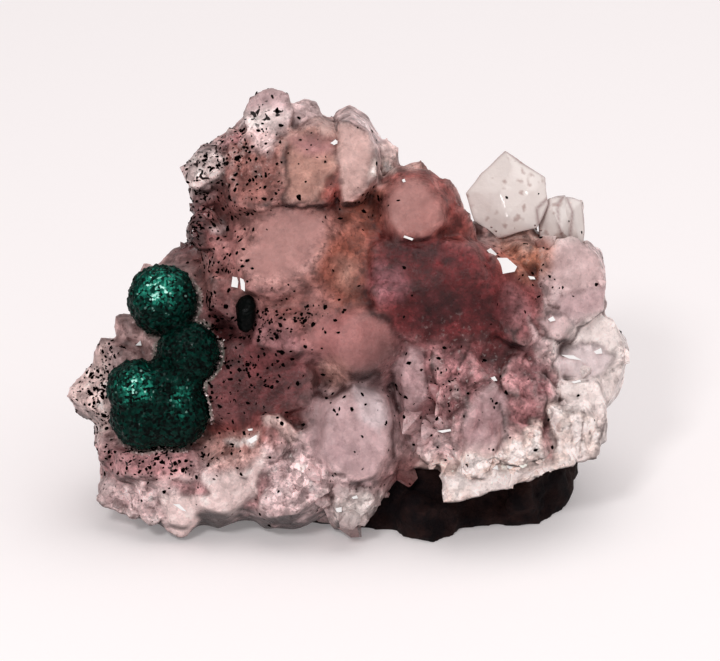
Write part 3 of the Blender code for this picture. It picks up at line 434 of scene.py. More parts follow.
    "grey_facet_low": ("mauve_grey", None, 0.1, 0.35, [
        (-2.4, 4.6), (-0.6, 4.8), (0.6, 3.4), (-0.2, 2.0), (-2.4, 3.2),
    ]),
    "grey_lower": ("grey_mauve", 0.05, 0.4, 0.3, [
        (-6.3, 1.6), (-5.0, 2.8), (-3.2, 2.6), (-2.4, 1.4), (-1.6, -0.2), (-1.7, -1.8), (-2.8, -2.2),
        (-4.0, -2.9), (-5.2, -2.9), (-6.6, -1.8), (-6.4, -0.4),
    ]),
    "toe": ("milky", 0.15, 0.4, 0.2, [
        (-1.9, -1.8), (-1.4, -0.9), (0.0, -0.6), (1.2, 0.1), (2.0, 0.0), (1.6, -1.2), (1.0, -2.2),
        (-1.5, -2.4),
    ]),
    "column_1": ("mauve_grey", 0.2, 0.4, 0.25, [
        (3.2, 9.0), (4.0, 10.6), (5.0, 11.9), (5.8, 11.9), (6.4, 10.4), (6.6, 8.4), (6.0, 6.6), (4.4, 6.2),
        (3.9, 7.2),
    ]),
    "column_2": ("mauve", 0.05, 0.5, 0.25, [
        (6.9, 11.5), (8.9, 11.6), (9.7, 10.6), (9.6, 9.2), (8.8, 7.8), (7.1, 7.6),
    ]),
    "column_foot": ("dusky", -0.2, 0.0, 0.5, [
        (5.2, 7.2), (7.0, 7.5), (9.0, 7.8), (9.4, 6.9), (8.0, 6.0), (6.4, 5.6), (5.0, 6.0),
    ]),
    "column_3": ("mauve", 0.2, 0.6, 0.2, [
        (12.8, 11.0), (13.9, 11.3), (14.4, 10.2), (14.6, 9.0), (14.0, 8.0), (12.9, 8.0), (12.4, 9.2),
    ]),
    "column_4": ("mauve_grey", 0.25, 0.3, 0.3, [
        (9.5, 7.2), (10.6, 8.4), (11.8, 9.0), (12.6, 8.2), (12.8, 5.4), (12.4, 3.6), (10.8, 3.2),
        (9.2, 3.8), (9.2, 5.6),
    ]),
    "column_5": ("mauve", 0.1, 0.5, 0.25, [
        (12.9, 7.8), (14.8, 7.8), (15.8, 8.2), (16.0, 6.6), (15.4, 6.1), (14.1, 5.4), (13.0, 5.6),
    ]),
    "column_finger": ("buff", 0.2, 0.5, 0.15, [
        (14.2, 5.4), (14.8, 6.1), (15.5, 6.0), (15.6, 5.0), (15.2, 3.6), (14.4, 2.8), (14.1, 3.8),
    ]),
    "column_end": ("mauve", 0.0, 0.5, 0.2, [
        (15.7, 6.1), (16.1, 5.8), (16.5, 4.2), (16.4, 2.6), (15.8, 2.8), (15.6, 4.2),
    ]),
    "far_mauve": ("plum", 0.05, 0.2, 0.4, [
        (15.0, 11.0), (16.4, 10.6), (16.8, 9.2), (16.4, 8.1), (15.0, 7.9), (14.7, 9.0),
    ]),
    "pale_strip": ("grey_mauve", 0.1, 0.4, 0.25, [
        (14.7, 14.4), (15.4, 13.0), (16.3, 12.0), (16.2, 11.0), (15.4, 11.3), (14.8, 12.6),
    ]),
    "glass_round": ("grey_mauve", 0.2, 0.8, 0.2, [
        (15.4, 14.1), (16.2, 14.6), (17.4, 14.4), (18.2, 13.6), (17.9, 12.7), (17.0, 12.2), (16.0, 12.6),
    ]),
    "glass_upper": ("milky", 0.1, 0.4, 0.3, [
        (18.0, 13.4), (18.8, 13.8), (19.6, 14.7), (20.8, 14.6), (21.8, 13.6), (22.4, 12.3), (21.6, 11.4),
        (20.6, 12.0), (17.8, 12.1),
    ]),
    "glass_middle": ("icy", 0.05, 0.4, 0.3, [
        (16.9, 11.6), (18.6, 11.9), (20.6, 12.0), (21.8, 11.2), (21.2, 10.2), (20.2, 9.2), (17.2, 9.3),
        (16.8, 10.4),
    ]),
    "glass_lower": ("milky", 0.1, 0.4, 0.3, [
        (17.1, 9.0), (20.4, 9.2), (22.0, 10.2), (22.0, 8.6), (21.2, 7.4), (20.0, 7.0), (17.8, 7.0),
        (17.0, 8.0),
    ]),
    "buff_edge": ("milky", 0.1, 0.1, 0.4, [
        (7.7, 1.6), (8.2, -0.3), (11.9, 0.3), (14.2, 0.8), (16.4, 1.6), (16.5, 2.6), (14.0, 2.2),
        (11.9, 1.9), (9.6, 1.8),
    ]),
    "white_block": ("white", 0.15, 0.4, 0.25, [
        (16.3, 7.6), (17.0, 7.8), (17.3, 7.0), (20.2, 6.4), (20.4, 4.6), (19.9, 2.2), (18.0, 2.0),
        (16.8, 2.4), (16.4, 4.6), (16.0, 6.4),
    ]),
    "flank_upper": ("pale_pink", 0.1, 0.1, 0.5, [
        (16.9, 20.8), (18.6, 20.5), (19.6, 19.9), (21.0, 18.9), (21.1, 17.6), (18.6, 16.2), (17.2, 16.0),
        (16.4, 17.2), (16.4, 19.2),
    ]),
    "flank_lower": ("mauve_grey", 0.0, 0.2, 0.4, [
        (17.0, 16.0), (18.8, 16.4), (20.4, 17.0), (21.1, 16.6), (21.2, 15.2), (20.6, 14.7), (19.4, 14.4),
        (18.2, 13.8), (16.6, 15.0),
    ]),
    "below_clear": ("shell", 0.2, 0.0, 0.6, [
        (11.6, 21.9), (16.2, 21.8), (16.6, 20.4), (14.2, 20.0), (12.2, 20.4),
    ]),
    "olive_patch": ("olive_tan", None, 0.0, 1.0, [
        (12.4, 20.6), (13.6, 20.8), (14.6, 21.2), (16.0, 20.6), (16.2, 19.0), (15.4, 18.0), (14.2, 17.7),
        (12.8, 19.0),
    ]),
}
FACE_PAINT = 0.72  # how fully a face takes its stain
FACE_SLANT = 0.11  # how much the faces slant, in millimetres to a millimetre
RIM_WIDTH = 0.18  # half the width of a face's dark outline

# How clean some of them are: nearly free of specks and clouds.
CLEAN_FACES = {
    "great_pale": 0.8, "oval": 0.8, "broad": 0.7, "salmon": 0.7, "tan": 0.5, "skirt": 0.6, "peak": 0.4,
    "grey_upper": 0.7, "glass_upper": 0.7, "glass_middle": 0.85, "glass_lower": 0.6, "white_block": 0.3,
    "buff_edge": 0.5, "flank_upper": 0.7, "flank_lower": 0.7, "glass_round": 0.7, "column_1": 0.6,
    "column_4": 0.6,
}

# Dark seams: half width, then the line along which it runs (across, up).
SEAMS = {
    "crest": (0.13, [(-2.0, 30.3), (-0.8, 30.1), (0.4, 29.8), (1.3, 29.2)]),
    "flank_edge": (0.12, [(19.5, 20.3), (20.2, 19.9), (20.9, 19.2)]),
    "flank_side": (0.12, [(21.2, 16.6), (21.1, 15.6), (21.3, 14.8)]),
    "olive_pit": (0.2, [(14.8, 20.0), (15.3, 20.3), (16.0, 20.2)]),
    "flank_pit": (0.13, [(16.0, 15.1), (16.9, 15.3)]),
    "corner_crack": (0.07, [(17.1, 22.4), (17.9, 21.4), (17.5, 21.0)]),
    "tan_side": (0.17, [(-4.9, 28.0), (-4.9, 25.8), (-4.8, 23.4)]),
    "tan_foot": (0.14, [(-7.4, 23.0), (-5.2, 23.1), (-3.6, 23.2), (-2.0, 23.1)]),
    "knob_side": (0.16, [(-10.0, 25.6), (-11.2, 24.7), (-12.0, 24.1)]),
    "slit": (0.2, [(-5.7, 28.4), (-5.3, 28.9), (-4.9, 29.1)]),
    "smoky_corner": (0.3, [(1.5, 16.4), (1.7, 15.1), (3.0, 14.0), (3.9, 12.8)]),
    "salmon_foot": (0.28, [(0.2, 9.5), (1.4, 9.4), (2.5, 9.6)]),
    "dusky_edge": (0.2, [(-2.6, 8.1), (-1.6, 8.0), (-0.4, 8.2), (0.3, 8.9)]),
    "column_seam_1": (0.1, [(6.8, 11.4), (7.0, 9.4), (7.0, 7.4), (6.9, 5.8)]),
    "column_seam_2": (0.22, [(8.0, 6.4), (9.2, 7.2), (9.8, 8.6), (10.8, 9.2)]),
    "column_seam_3": (0.1, [
        (14.2, 13.8), (13.4, 12.6), (12.9, 11.0), (12.4, 9.4), (12.8, 8.2), (14.2, 8.0),
    ]),
    "column_side_1": (0.13, [(9.6, 9.9), (9.7, 7.3), (9.2, 5.0)]),
    "column_side_2": (0.13, [(12.2, 7.3), (12.7, 5.0), (11.9, 3.6)]),
    "column_top_1": (0.12, [(10.1, 12.9), (9.6, 11.3), (8.6, 9.9)]),
    "column_top_2": (0.12, [(13.2, 13.2), (14.2, 11.3), (14.0, 9.6)]),
    "column_far": (0.14, [(15.9, 9.9), (16.0, 6.6), (15.7, 4.6)]),
    "column_near": (0.2, [(3.6, 9.9), (3.8, 6.6)]),
    "column_wedge": (0.3, [(13.6, 13.2), (13.6, 11.8)]),
    "grey_gap": (0.3, [(3.7, 5.6), (3.8, 4.4), (3.7, 3.2)]),
    "round_rim": (0.14, [(14.9, 14.2), (15.4, 13.0), (16.2, 12.3), (17.2, 12.1), (17.9, 12.4)]),
    "glass_side": (0.14, [
        (18.9, 13.6), (18.0, 12.4), (17.0, 11.3), (16.6, 10.6), (16.9, 9.4), (16.6, 7.6), (16.0, 7.2),
    ]),
    "white_side": (0.12, [(16.0, 7.2), (16.3, 5.4), (16.7, 3.8), (16.6, 2.6)]),
    "white_edge": (0.16, [(20.6, 6.0), (20.3, 4.4), (19.9, 3.2), (19.4, 2.3)]),
    "white_crack_1": (0.06, [(17.9, 5.8), (18.0, 4.9), (18.2, 4.0)]),
    "white_crack_2": (0.06, [(18.8, 5.8), (18.9, 4.2), (18.8, 2.8)]),
    "white_crack_3": (0.06, [(19.6, 6.2), (19.7, 5.2), (19.6, 4.2)]),
    "skirt_end": (0.14, [(-19.8, -0.9), (-19.4, -1.3), (-18.4, -1.6), (-18.0, -1.2)]),
    "skirt_block": (0.12, [(-15.8, -2.0), (-15.6, -3.0), (-14.4, -3.4)]),
    "left_side": (0.12, [(-20.8, 10.2), (-19.8, 10.1), (-19.0, 10.2)]),
    "left_low": (0.12, [(-19.6, 3.2), (-19.2, 2.2), (-18.5, 1.4)]),
    "toe_gap": (0.16, [(-1.4, 1.9), (-0.4, 1.6), (0.4, 1.0), (1.8, 0.6)]),
}

# Small chips painted near white as glints, where fresh faces catch the light: outline (across, up).
BRIGHT_FACES = {
    "by_bead": [(-9.2, 16.7), (-9.1, 17.5), (-8.6, 17.4), (-8.7, 16.6)],
    "by_bead_side": [(-8.5, 17.4), (-8.1, 17.2), (-8.1, 16.3), (-8.4, 16.5)],
    "smoky_side_tip": [(11.2, 19.6), (11.5, 19.8), (12.0, 19.3), (11.8, 19.0)],
    "smoky_side": [(12.0, 19.0), (12.8, 19.0), (13.6, 18.3), (13.4, 17.9), (12.3, 17.7)],
    "flank_curl": [(14.3, 17.6), (15.0, 17.5), (15.1, 17.3), (14.7, 17.3)],
    "flank_eye": [(16.1, 14.1), (16.5, 14.35), (16.7, 14.0), (16.3, 13.9)],
    "columns_top": [(11.2, 9.35), (11.8, 9.55), (12.0, 9.2), (11.5, 9.15)],
    "glass_line": [(17.2, 11.25), (18.2, 11.2), (18.9, 10.8), (17.8, 10.95)],
    "glass_spot": [(19.9, 11.5), (20.5, 11.8), (20.6, 11.35), (20.1, 11.3)],
    "glass_low": [(18.0, 9.1), (18.7, 9.25), (18.8, 9.1), (18.2, 8.95)],
    "tan_top": [(-1.3, 28.15), (-0.9, 28.45), (-0.6, 28.2), (-1.0, 28.0)],
    "oval_foot": [(4.6, 20.75), (5.3, 20.5), (5.2, 20.35), (4.5, 20.6)],
    "oval_top": [(4.4, 25.2), (4.6, 25.3), (4.7, 25.05), (4.5, 25.0)],
    "lip": [(-7.9, 4.5), (-7.2, 4.9), (-7.0, 4.6), (-7.6, 4.2)],
    "dusky_spot": [(-7.9, 5.35), (-7.5, 5.4), (-7.5, 5.25), (-7.8, 5.2)],
    "toe": [(0.4, -0.1), (0.8, 0.05), (0.9, -0.2), (0.5, -0.25)],
    "toe_low": [(-0.9, -1.0), (-0.4, -0.9), (-0.4, -1.3), (-0.8, -1.3)],
    "crust_top": [(7.2, 5.2), (8.6, 5.4), (8.7, 5.25), (7.6, 5.05)],
    "crust_side": [(11.6, 2.2), (12.0, 2.5), (12.1, 2.1)],
    "malachite_gap": [(-17.0, 12.0), (-16.6, 12.4), (-16.5, 12.0)],
    "skirt_step": [(-13.9, -0.7), (-13.4, -0.7), (-12.8, -1.3), (-13.2, -1.2)],
}
BRIGHT_LIFT = 0.28  # how far they stand out
BRIGHT_ROOT = 0.9  # how far behind that they are rooted
BRIGHT_TILT = 0.12  # they face up a little

# Hollows under the crust's front edge: middle (across, up, out) and half sizes.
UNDERCUTS = [
    ((-8.4, -3.9, 6.0), (2.3, 1.9, 5.0)), ((-2.8, -3.9, 6.0), (2.4, 1.5, 5.0)),
    ((-11.8, -3.9, 6.4), (1.3, 0.7, 4.0)), ((-17.0, -3.4, 6.0), (2.6, 1.3, 5.0)),
]


def linear(hex_colour):
    """An sRGB hex colour as linear red, green and blue."""
    values = [int(hex_colour[i : i + 2], 16) / 255 for i in (1, 3, 5)]
    return [v / 12.92 if v <= 0.04045 else ((v + 0.055) / 1.055) ** 2.4 for v in values]


def show_places(points):
    """Across, up and out of many points in millimetres, as columns."""
    return np.stack([points @ np.array(way) for way in (SHOW_RIGHT, SHOW_UP, SHOW_OUT)], 1)


def noise_at(points, size):
    """Smooth noise with lumps of a size, at many points."""
    return np.array([noise.noise(Vector(p) / size) for p in points])


def falloff(places, middle, half_size):
    """How strongly a patch acts at each place: 1 at its middle, a third at its half size."""
    offset = (places[:, :2] - np.array(middle)) / np.array(half_size)
    return np.exp(-(offset**2).sum(1))


def share_of(places, patches, floor=0.0):
    """The strongest of some patches at each place."""
    share = np.full(len(places), floor)
    for middle, half_size, strength in patches:
        share = np.maximum(share, falloff(places, middle, half_size) * strength)
    return share


def wandered(places, wander):
    """Places moved about a little, so that the patches drawn over them get uneven borders."""
    shift = np.array([noise.noise_vector(Vector(p) / wander) for p in places])
    return places + shift * wander * 0.35


def quartz_tints(places):
    """The quartz's colour at each place, from the stains around it."""
    total = np.full(len(places), PLAIN_WEIGHT)
    colour = np.outer(total, linear(PLAIN_QUARTZ))
    for tint, patches in STAINS.values():
        for middle, half_size, strength in patches:
            weight = falloff(places, middle, half_size) ** 1.5 * strength
            total += weight
            colour += np.outer(weight, linear(tint))
    return colour / total[:, None]


def stained(own, colour, share):
    """Colours mixed with one more, by its share at each place."""
    share = share[:, None]
    return own * (1 - share) + np.array(linear(colour)) * share


FAR = 9.0  # farther than any distance on the show face that matters


def along_line(spots, a, b):
    """How far each spot is from the straight line from a to b."""
    share = np.clip((spots - a) @ (b - a) / ((b - a) @ (b - a)), 0, 1)
    return np.linalg.norm(spots - a - share[:, None] * (b - a), axis=1)


def gap_to(places, line):
    """How far each place is from an open line."""
    gap = np.full(len(places), FAR)
    for a, b in zip(np.array(line), np.array(line[1:])):
        gap = np.minimum(gap, along_line(places[:, :2], a, b))
    return gap


def depth_in(places, outline):
    """How far each place lies inside an outline (above 0) or outside it (below 0)."""
    corners = np.array(outline)
    depth = np.full(len(places), -FAR)
    near = ((places[:, :2] > corners.min(0) - 1) & (places[:, :2] < corners.max(0) + 1)).all(1)
    spots = places[near, :2]
    nearest = np.full(len(spots), FAR)
    inside = np.zeros(len(spots), bool)
    for a, b in zip(corners, np.roll(corners, -1, 0)):
        nearest = np.minimum(nearest, along_line(spots, a, b))
        height = (spots[:, 1] - a[1]) / ((b - a)[1] or 1e-9)
        crossed = (a[1] > spots[:, 1]) != (b[1] > spots[:, 1])
        inside ^= crossed & (spots[:, 0] < a[0] + height * (b - a)[0])
    depth[near] = np.where(inside, nearest, -nearest)
    return depth


def face_shares(places, facing):
    """For each crystal face, how fully each place lies in it and how near its outline is."""
    loose = wandered(places, 1.2)
    for stain, rise, rim, fade, outline in CRYSTAL_FACES.values():
        depth = depth_in(loose, outline)
        inside = np.clip(depth / fade * 0.5 + 0.5, 0, 1) * facing
        edge = np.exp(-((depth / RIM_WIDTH) ** 2)) * rim * facing
        yield stain, rise, outline, inside, edge


CLEAN_FADE = 0.9  # over how much the border of a clean face fades


def clean_share(places):
    """How fully each place lies in a clean crystal face."""
    share = np.zeros(len(places))
    for name, strength in CLEAN_FACES.items():
        inside = np.clip(depth_in(places, CRYSTAL_FACES[name][-1]) / CLEAN_FADE + 0.5, 0, 1)
        share = np.maximum(share, inside * strength)
    return share


# ---------------------------------------------------------------- relief


def points_of(mesh, attribute="co"):
    """A mesh's points, or their normals, as rows."""
    values = np.empty(len(mesh.vertices) * 3)
    mesh.vertices.foreach_get(attribute, values)
    return values.reshape(-1, 3)


def set_points(mesh, co):
    """Moves a mesh's points."""
    mesh.vertices.foreach_set("co", co.ravel())
    mesh.update()


def store(mesh, name, values):
    """Stores a value on each point of a mesh."""
    attribute = mesh.attributes.new(name, "FLOAT", "POINT")
    attribute.data.foreach_set("value", values.astype(np.float32))


def store_tint(mesh, own):
    """Stores a linear colour on each point of a mesh."""
    colours = np.concatenate([np.clip(own, 0, 1), np.ones((len(own), 1))], 1)
    tint = mesh.color_attributes.new("tint", "FLOAT_COLOR", "POINT")
    tint.data.foreach_set("color", colours.astype(np.float32).ravel())


class Neighbours:
    """Which points of a mesh are joined by its edges."""

    def __init__(self, mesh):
        ends = np.empty(len(mesh.edges) * 2, np.int64)
        mesh.edges.foreach_get("vertices", ends)
        self.first, self.second = ends.reshape(-1, 2).T
        self.points = len(mesh.vertices)
        self.count = self.sum(np.ones(self.points))

    def sum(self, values):
        """The sum of one value over each point's neighbours."""
        here, there = self.first, self.second
        return np.bincount(here, values[there], self.points) + np.bincount(there, values[here], self.points)

    def mean(self, values):
        """The mean of rows of values over each point's neighbours."""
        return np.stack([self.sum(column) for column in values.T], 1) / np.maximum(self.count, 1)[:, None]


def smooth_points(mesh, rounds, weight):
    """Fuses a mesh's forms: every point moves towards its neighbours by its weight, again and again."""
    around = Neighbours(mesh)
    co = points_of(mesh)
    for i in range(rounds):
        co += (around.mean(co) - co) * np.clip(weight(i), 0, 1)[:, None] * 0.6
    set_points(mesh, co)


def creases(mesh, rounds):
    """How far each point lies in a crease (below 0) or on an edge (above 0), spread over its neighbours."""
    around = Neighbours(mesh)
    co = points_of(mesh)
    length = np.linalg.norm(co[around.first] - co[around.second], axis=1).mean()
    value = -np.einsum("ij,ij->i", around.mean(co) - co, points_of(mesh, "normal"))[:, None] / length
    for _ in range(rounds):
        value = 0.4 * value + 0.6 * around.mean(value)
    return value[:, 0]


LOTS = 24  # cells of the loose grid before its lots repeat
BLOCK_REACH = (0.6, 0.3)  # in cells, how far a block reaches, and how much farther by its lot


def block_relief(places, size, seed, rounded=False):
    """How far small blocks (or balls) stand out at each place, and a lot from 0 to 1 for each block.

    Every cell of a loose grid holds one block, turned its own way, and the one that stands out most shows.
    """
    rng = np.random.default_rng(seed)
    middles = rng.uniform(0.1, 0.9, (LOTS, LOTS, LOTS, 3))
    turns = np.linalg.qr(rng.normal(size=(LOTS, LOTS, LOTS, 3, 3)))[0]
    lots = rng.random((LOTS, LOTS, LOTS))
    scaled = places / np.array(size)
    cell = np.floor(scaled).astype(int)
    height = np.full(len(places), -FAR)
    lot = np.zeros(len(places))
    for step in np.ndindex(3, 3, 3):
        here = cell + np.array(step) - 1
        x, y, z = (here % LOTS).T
        offset = scaled - here - middles[x, y, z]
        if rounded:
            reach = np.linalg.norm(offset, axis=1)
        else:
            reach = np.abs(np.einsum("ij,ijk->ik", offset, turns[x, y, z])).max(1)
        stands = BLOCK_REACH[0] + BLOCK_REACH[1] * lots[x, y, z] - reach
        taller = stands > height
        height[taller] = stands[taller]
        lot[taller] = lots[x, y, z][taller]
    return height * min(size), lot


# ---------------------------------------------------------------- clear crystals

# The crystals that can be seen through: the outline of the front (across, up), how far out its middle lies,
# the way it faces, how deep the crystal goes, how much wider it is at the back, and the points of the ridges
# between its faces (across, up, and how far out of the front they stand).
CLEAR_CRYSTALS = {
    "clear_shoulder": ([
        (9.5, 24.3), (10.8, 25.9), (12.8, 27.8), (14.1, 26.8), (16.1, 25.6), (16.3, 23.4), (15.4, 21.4),
        (12.2, 20.6), (10.2, 22.0),
    ], 8.4, (-0.1, 0.22, 0.97), 4.6, -0.8, [
        (13.3, 26.5, -0.2), (12.3, 24.4, 0.1), (14.9, 24.3, -0.1), (12.9, 22.3, 0.0),
    ]),
    "clear_corner_inner": ([
        (15.3, 23.0), (16.3, 24.0), (17.7, 24.2), (18.2, 22.8), (18.0, 20.6), (15.6, 20.2),
    ], 8.15, (-0.1, 0.16, 0.97), 4.4, -0.4, [(16.6, 22.9, 0.0), (17.3, 21.2, 0.1)]),
    "clear_corner": ([
        (17.0, 23.4), (17.6, 24.1), (18.4, 24.0), (19.1, 23.7), (19.3, 21.2), (19.2, 19.6), (17.6, 20.0),
        (17.1, 21.6),
    ], 7.9, (0.2, 0.12, 0.96), 4.4, -0.4, [(18.1, 22.6, 0.1), (18.6, 21.0, -0.1)]),
}
BACK_JITTER = 0.5  # how unevenly a clear crystal widens
CLEAR_BEVEL = 0.9  # how far the rim of the front lies behind its ridges
CLEAR_ROOM = 1.03  # how much larger the room for a clear crystal is than the crystal
CLEAR_EDGE = 0.28  # the longest edge of its finished mesh
CLEAR_TINT = "#fff4ef"
CLEAR_REFRACTION_EDGE = "#a98a88"  # its edges and outline, painted darker as refraction shows them
RIM_LINE = 0.14  # half the width of that outline
CLEAR_STAIN = "#9c6a5f"  # brown iron stain in flecks and at the foot
CLEAR_FOOT = 21.2  # how high up the stain at the foot reaches
FLECK_SIZES = (0.5, 1.8)
CLEAR_WAVES = (1.5, 0.06)  # size and height of the slight waves of its faces


def clear_crystal(outline, out, normal, depth, flare, ridges, rng, grow):
    """A crystal whose front has a few uneven faces, wider or narrower at the back."""
    middle = Vector((sum(a for a, _ in outline), sum(b for _, b in outline))) / len(outline)
    facing = Vector(normal).normalized()

    def front(across, up):
        return out - (facing.x * (across - middle.x) + facing.y * (up - middle.y)) / facing.z

    bm = bmesh.new()
    bevel = CLEAR_BEVEL if grow == 1.0 else 0.0
    for across, up, rise in ridges:
        bm.verts.new(show(across, up, front(across, up) + rise))
    for across, up in outline:
        jitter = rng.uniform(-BACK_JITTER, BACK_JITTER)
        bm.verts.new(show(across, up, front(across, up) - bevel))
        flared = (Vector((across, up)) - middle).normalized() * (flare + jitter)
        bm.verts.new(show(across + flared.x, up + flared.y, front(across, up) - depth))
    hull = bmesh.ops.convex_hull(bm, input=bm.verts[:])
    inner = [g for g in hull["geom_interior"] if isinstance(g, bmesh.types.BMVert)]
    bmesh.ops.delete(bm, geom=inner, context="VERTS")
    bmesh.ops.recalc_face_normals(bm, faces=bm.faces[:])
    centre = show(*middle, out - depth / 2)
    for vert in bm.verts:
        vert.co = centre + (vert.co - centre) * grow
    return bm


def clear_shells(grow=1.0):
    """Every clear crystal, enlarged by grow."""
    return [clear_crystal(*block, random.Random(name), grow) for name, block in CLEAR_CRYSTALS.items()]


def clear_crystals():
    """The crystals that light passes through, their faces slightly uneven, their edges rounded and painted
    darker as refraction shows them.
    """
    bm = bmesh.new()
    for shell in clear_shells():
        append(bm, shell)
    bmesh.ops.triangulate(bm, faces=bm.faces[:])
    for _ in range(5):
        wide = [e for e in bm.edges if e.calc_length() > CLEAR_EDGE]
        bmesh.ops.subdivide_edges(bm, edges=wide, cuts=1)
        bmesh.ops.triangulate(bm, faces=bm.faces[:])
    every_way = {"use_axis_x": True, "use_axis_y": True, "use_axis_z": True}
    bmesh.ops.smooth_vert(bm, verts=bm.verts[:], factor=0.5, **every_way)
    bm.normal_update()
    size, height = CLEAR_WAVES
    for vert in bm.verts:
        vert.co += vert.normal * (noise.noise(vert.co / size) * 2 * height - height)
    mesh = mesh_from("clear", bm)
    places = show_places(points_of(mesh))
    outline = np.min([gap_to(places, block[0] + block[0][:1]) for block in CLEAR_CRYSTALS.values()], 0)
    line = np.exp(-((outline / RIM_LINE) ** 2)) * 0.8
    own = np.tile(linear(CLEAR_TINT), (len(places), 1))
    # Painted dark edges and outline, standing in for the dark lines of refraction.
    own = stained(own, CLEAR_REFRACTION_EDGE, np.maximum(np.clip(creases(mesh, 1) * 1.2, 0, 0.35), line))
    flecks = noise_at(places, FLECK_SIZES[0]) + 0.5 * noise_at(places, FLECK_SIZES[1])
    flecks = np.clip((flecks - 0.42) * 3.0, 0, 0.55)
    foot = np.clip((CLEAR_FOOT - places[:, 1]) * 0.35, 0, 0.45)
    store_tint(mesh, stained(own, CLEAR_STAIN, np.clip(flecks + foot, 0, 0.8)))
    return piece_of("clear_crystals", mesh, 20)


# ---------------------------------------------------------------- quartz

QUARTZ_VOXEL = 0.248
BLOCK_SIZES = (2.5, 1.25)
BLOCK_RELIEF = 0.6  # of a block's own height
BLOCK_LEVEL = 0.35  # which part of that height counts as level
BLOCK_TONES = (0.8, 0.5)  # how much blocks of each size differ in lightness
# Other forms of the surface: patches, size of a form (across, up, out), seed, whether it is rounded, which
# height counts as level, how strongly the forms stand out, and how much they differ in lightness.
FORMS = {
    "ribbed": (RIBBED_PATCHES, (1.5, 5.0, 1.5), 21, True, 0.35, 0.25, 0.7),
    "fibrous": (FIBRE_PATCHES, (0.7, 4.5, 0.7), 23, True, 0.15, 0.5, 0.5),
    "granular": (CRUST_PATCHES, (0.95, 0.95, 0.95), 25, False, 0.33, 0.5, 0.4),
}
SWELL = (1.6, 0.05)  # size and height of the slow swell of all faces
RELIEF_LIMITS = (-0.5, 0.4)
STREAKS = (0.9, 0.22, 0.4)  # streaks to a millimetre across, up and out


def quartz_crust():
    """The quartz: fused crystals, smooth where they grew together, blocky, ribbed or granular elsewhere."""
    body = placed("quartz_body", mesh_from("quartz_body", from_node("quartz_druse")))
    hollows = bmesh.new()
    for centre, radii in UNDERCUTS:
        ball(hollows, centre, radii, 3)
    body = boolean(body, "DIFFERENCE", joined("room", [*clear_shells(CLEAR_ROOM), hollows]))
    mesh = modified(body, "REMESH", mode="VOXEL", voxel_size=QUARTZ_VOXEL)
    smooth = share_of(show_places(points_of(mesh)), SMOOTH_PATCHES, 0.1)

    def fusing(i):
        """All of it at first, then the smooth patches, and at last only their middles."""
        if i < 1:
            return np.ones(len(smooth))
        return smooth if i < 6 else smooth * 1.4 - 0.4

    smooth_points(mesh, 40, fusing)
    normals = points_of(mesh, "normal")
    co = points_of(mesh)
    places = show_places(co)
    facing = np.clip((normals @ np.array(SHOW_OUT)) * 3 - 0.2, 0, 1)
    loose = wandered(places, 2.5)
    back = 0.3 * (1 - facing)
    blocky = np.maximum(share_of(loose, BLOCKY_PATCHES, 0.06), back) * (1 - share_of(places, SMOOTH_PATCHES))
    share = {name: share_of(loose, form[0]) for name, form in FORMS.items()}
    ribbed, fibrous, granular = share.values()
    shift = np.zeros(len(co))
    tone = np.zeros(len(co))
    for number, (size, differs) in enumerate(zip(BLOCK_SIZES, BLOCK_TONES)):
        height, lot = block_relief(places + shift[:, None] * 0.3, (size,) * 3, 11 + number)
        shift += (height - BLOCK_LEVEL * size) * BLOCK_RELIEF * blocky * (1 - 0.6 * ribbed)
        tone += (lot - 0.5) * blocky * differs
    for name, (_, size, seed, rounded, level, stands, differs) in FORMS.items():
        height, lot = block_relief(places, size, seed, rounded)
        shift += (height - level) * stands * share[name]
        tone += (lot - 0.5) * differs * share[name]
    shift += noise_at(co, SWELL[0]) * SWELL[1]
    rng = np.random.default_rng(17)
    for _, rise, outline, inside, _ in face_shares(places, facing):
        if rise is None:
            continue
        slant = rng.uniform(-FACE_SLANT, FACE_SLANT, 2)
        plane = rise + (places[:, :2] - np.mean(outline, 0)) @ slant
        keep = 0.25 + 0.45 * np.maximum(blocky, np.maximum(ribbed, fibrous))
        shift += (plane - shift * (1 - keep)) * inside
    on_cut = np.clip(co[:, 2] / 0.5, 0, 1)
    set_points(mesh, co + normals * (np.clip(shift, *RELIEF_LIMITS) * on_cut)[:, None])
    broken = np.clip(np.maximum(blocky, 0.8 * np.maximum(granular, 0.7 * ribbed)), 0, 1)
    streaks = noise_at(places * STREAKS, 1.0)
    tone += ribbed * (streaks * 1.1 - np.exp(-((streaks / 0.06) ** 2)) * 0.7) + fibrous * streaks * 1.8
    paint_quartz(mesh, tone, broken, facing)
    return piece_of("quartz_crust", mesh, 34)


FLAT = 0.9995  # two triangles this well lined up lie in one crystal face
FACE_SHARE = 0.4  # how much of a crystal face's colour is the same all over it
FACE_SPREAD = 0.13  # how much the crystal faces differ in lightness
FRINGE_GLOW = 0.3  # how wide the pale quartz along the malachite is
SEAM_DARK = 0.85
RIM_DARK = 0.8


def crystal_faces(points):
    """For each point, the number of the solid's crystal face that it lies nearest to."""
    bm = from_node("quartz_druse")
    number = bm.faces.layers.int.new("face")
    count = 0
    for face in bm.faces:
        if face[number]:
            continue
        count += 1
        face[number] = count
        waiting = [face]
        while waiting:
            here = waiting.pop()
            for edge in here.edges:
                for other in edge.link_faces:
                    if not other[number] and other.normal.dot(here.normal) > FLAT:
                        other[number] = count
                        waiting.append(other)
    numbers = [face[number] for face in bm.faces]
    tree = BVHTree.FromBMesh(bm)
    bm.free()
    return np.array([numbers[tree.find_nearest(Vector(p))[2]] for p in points])


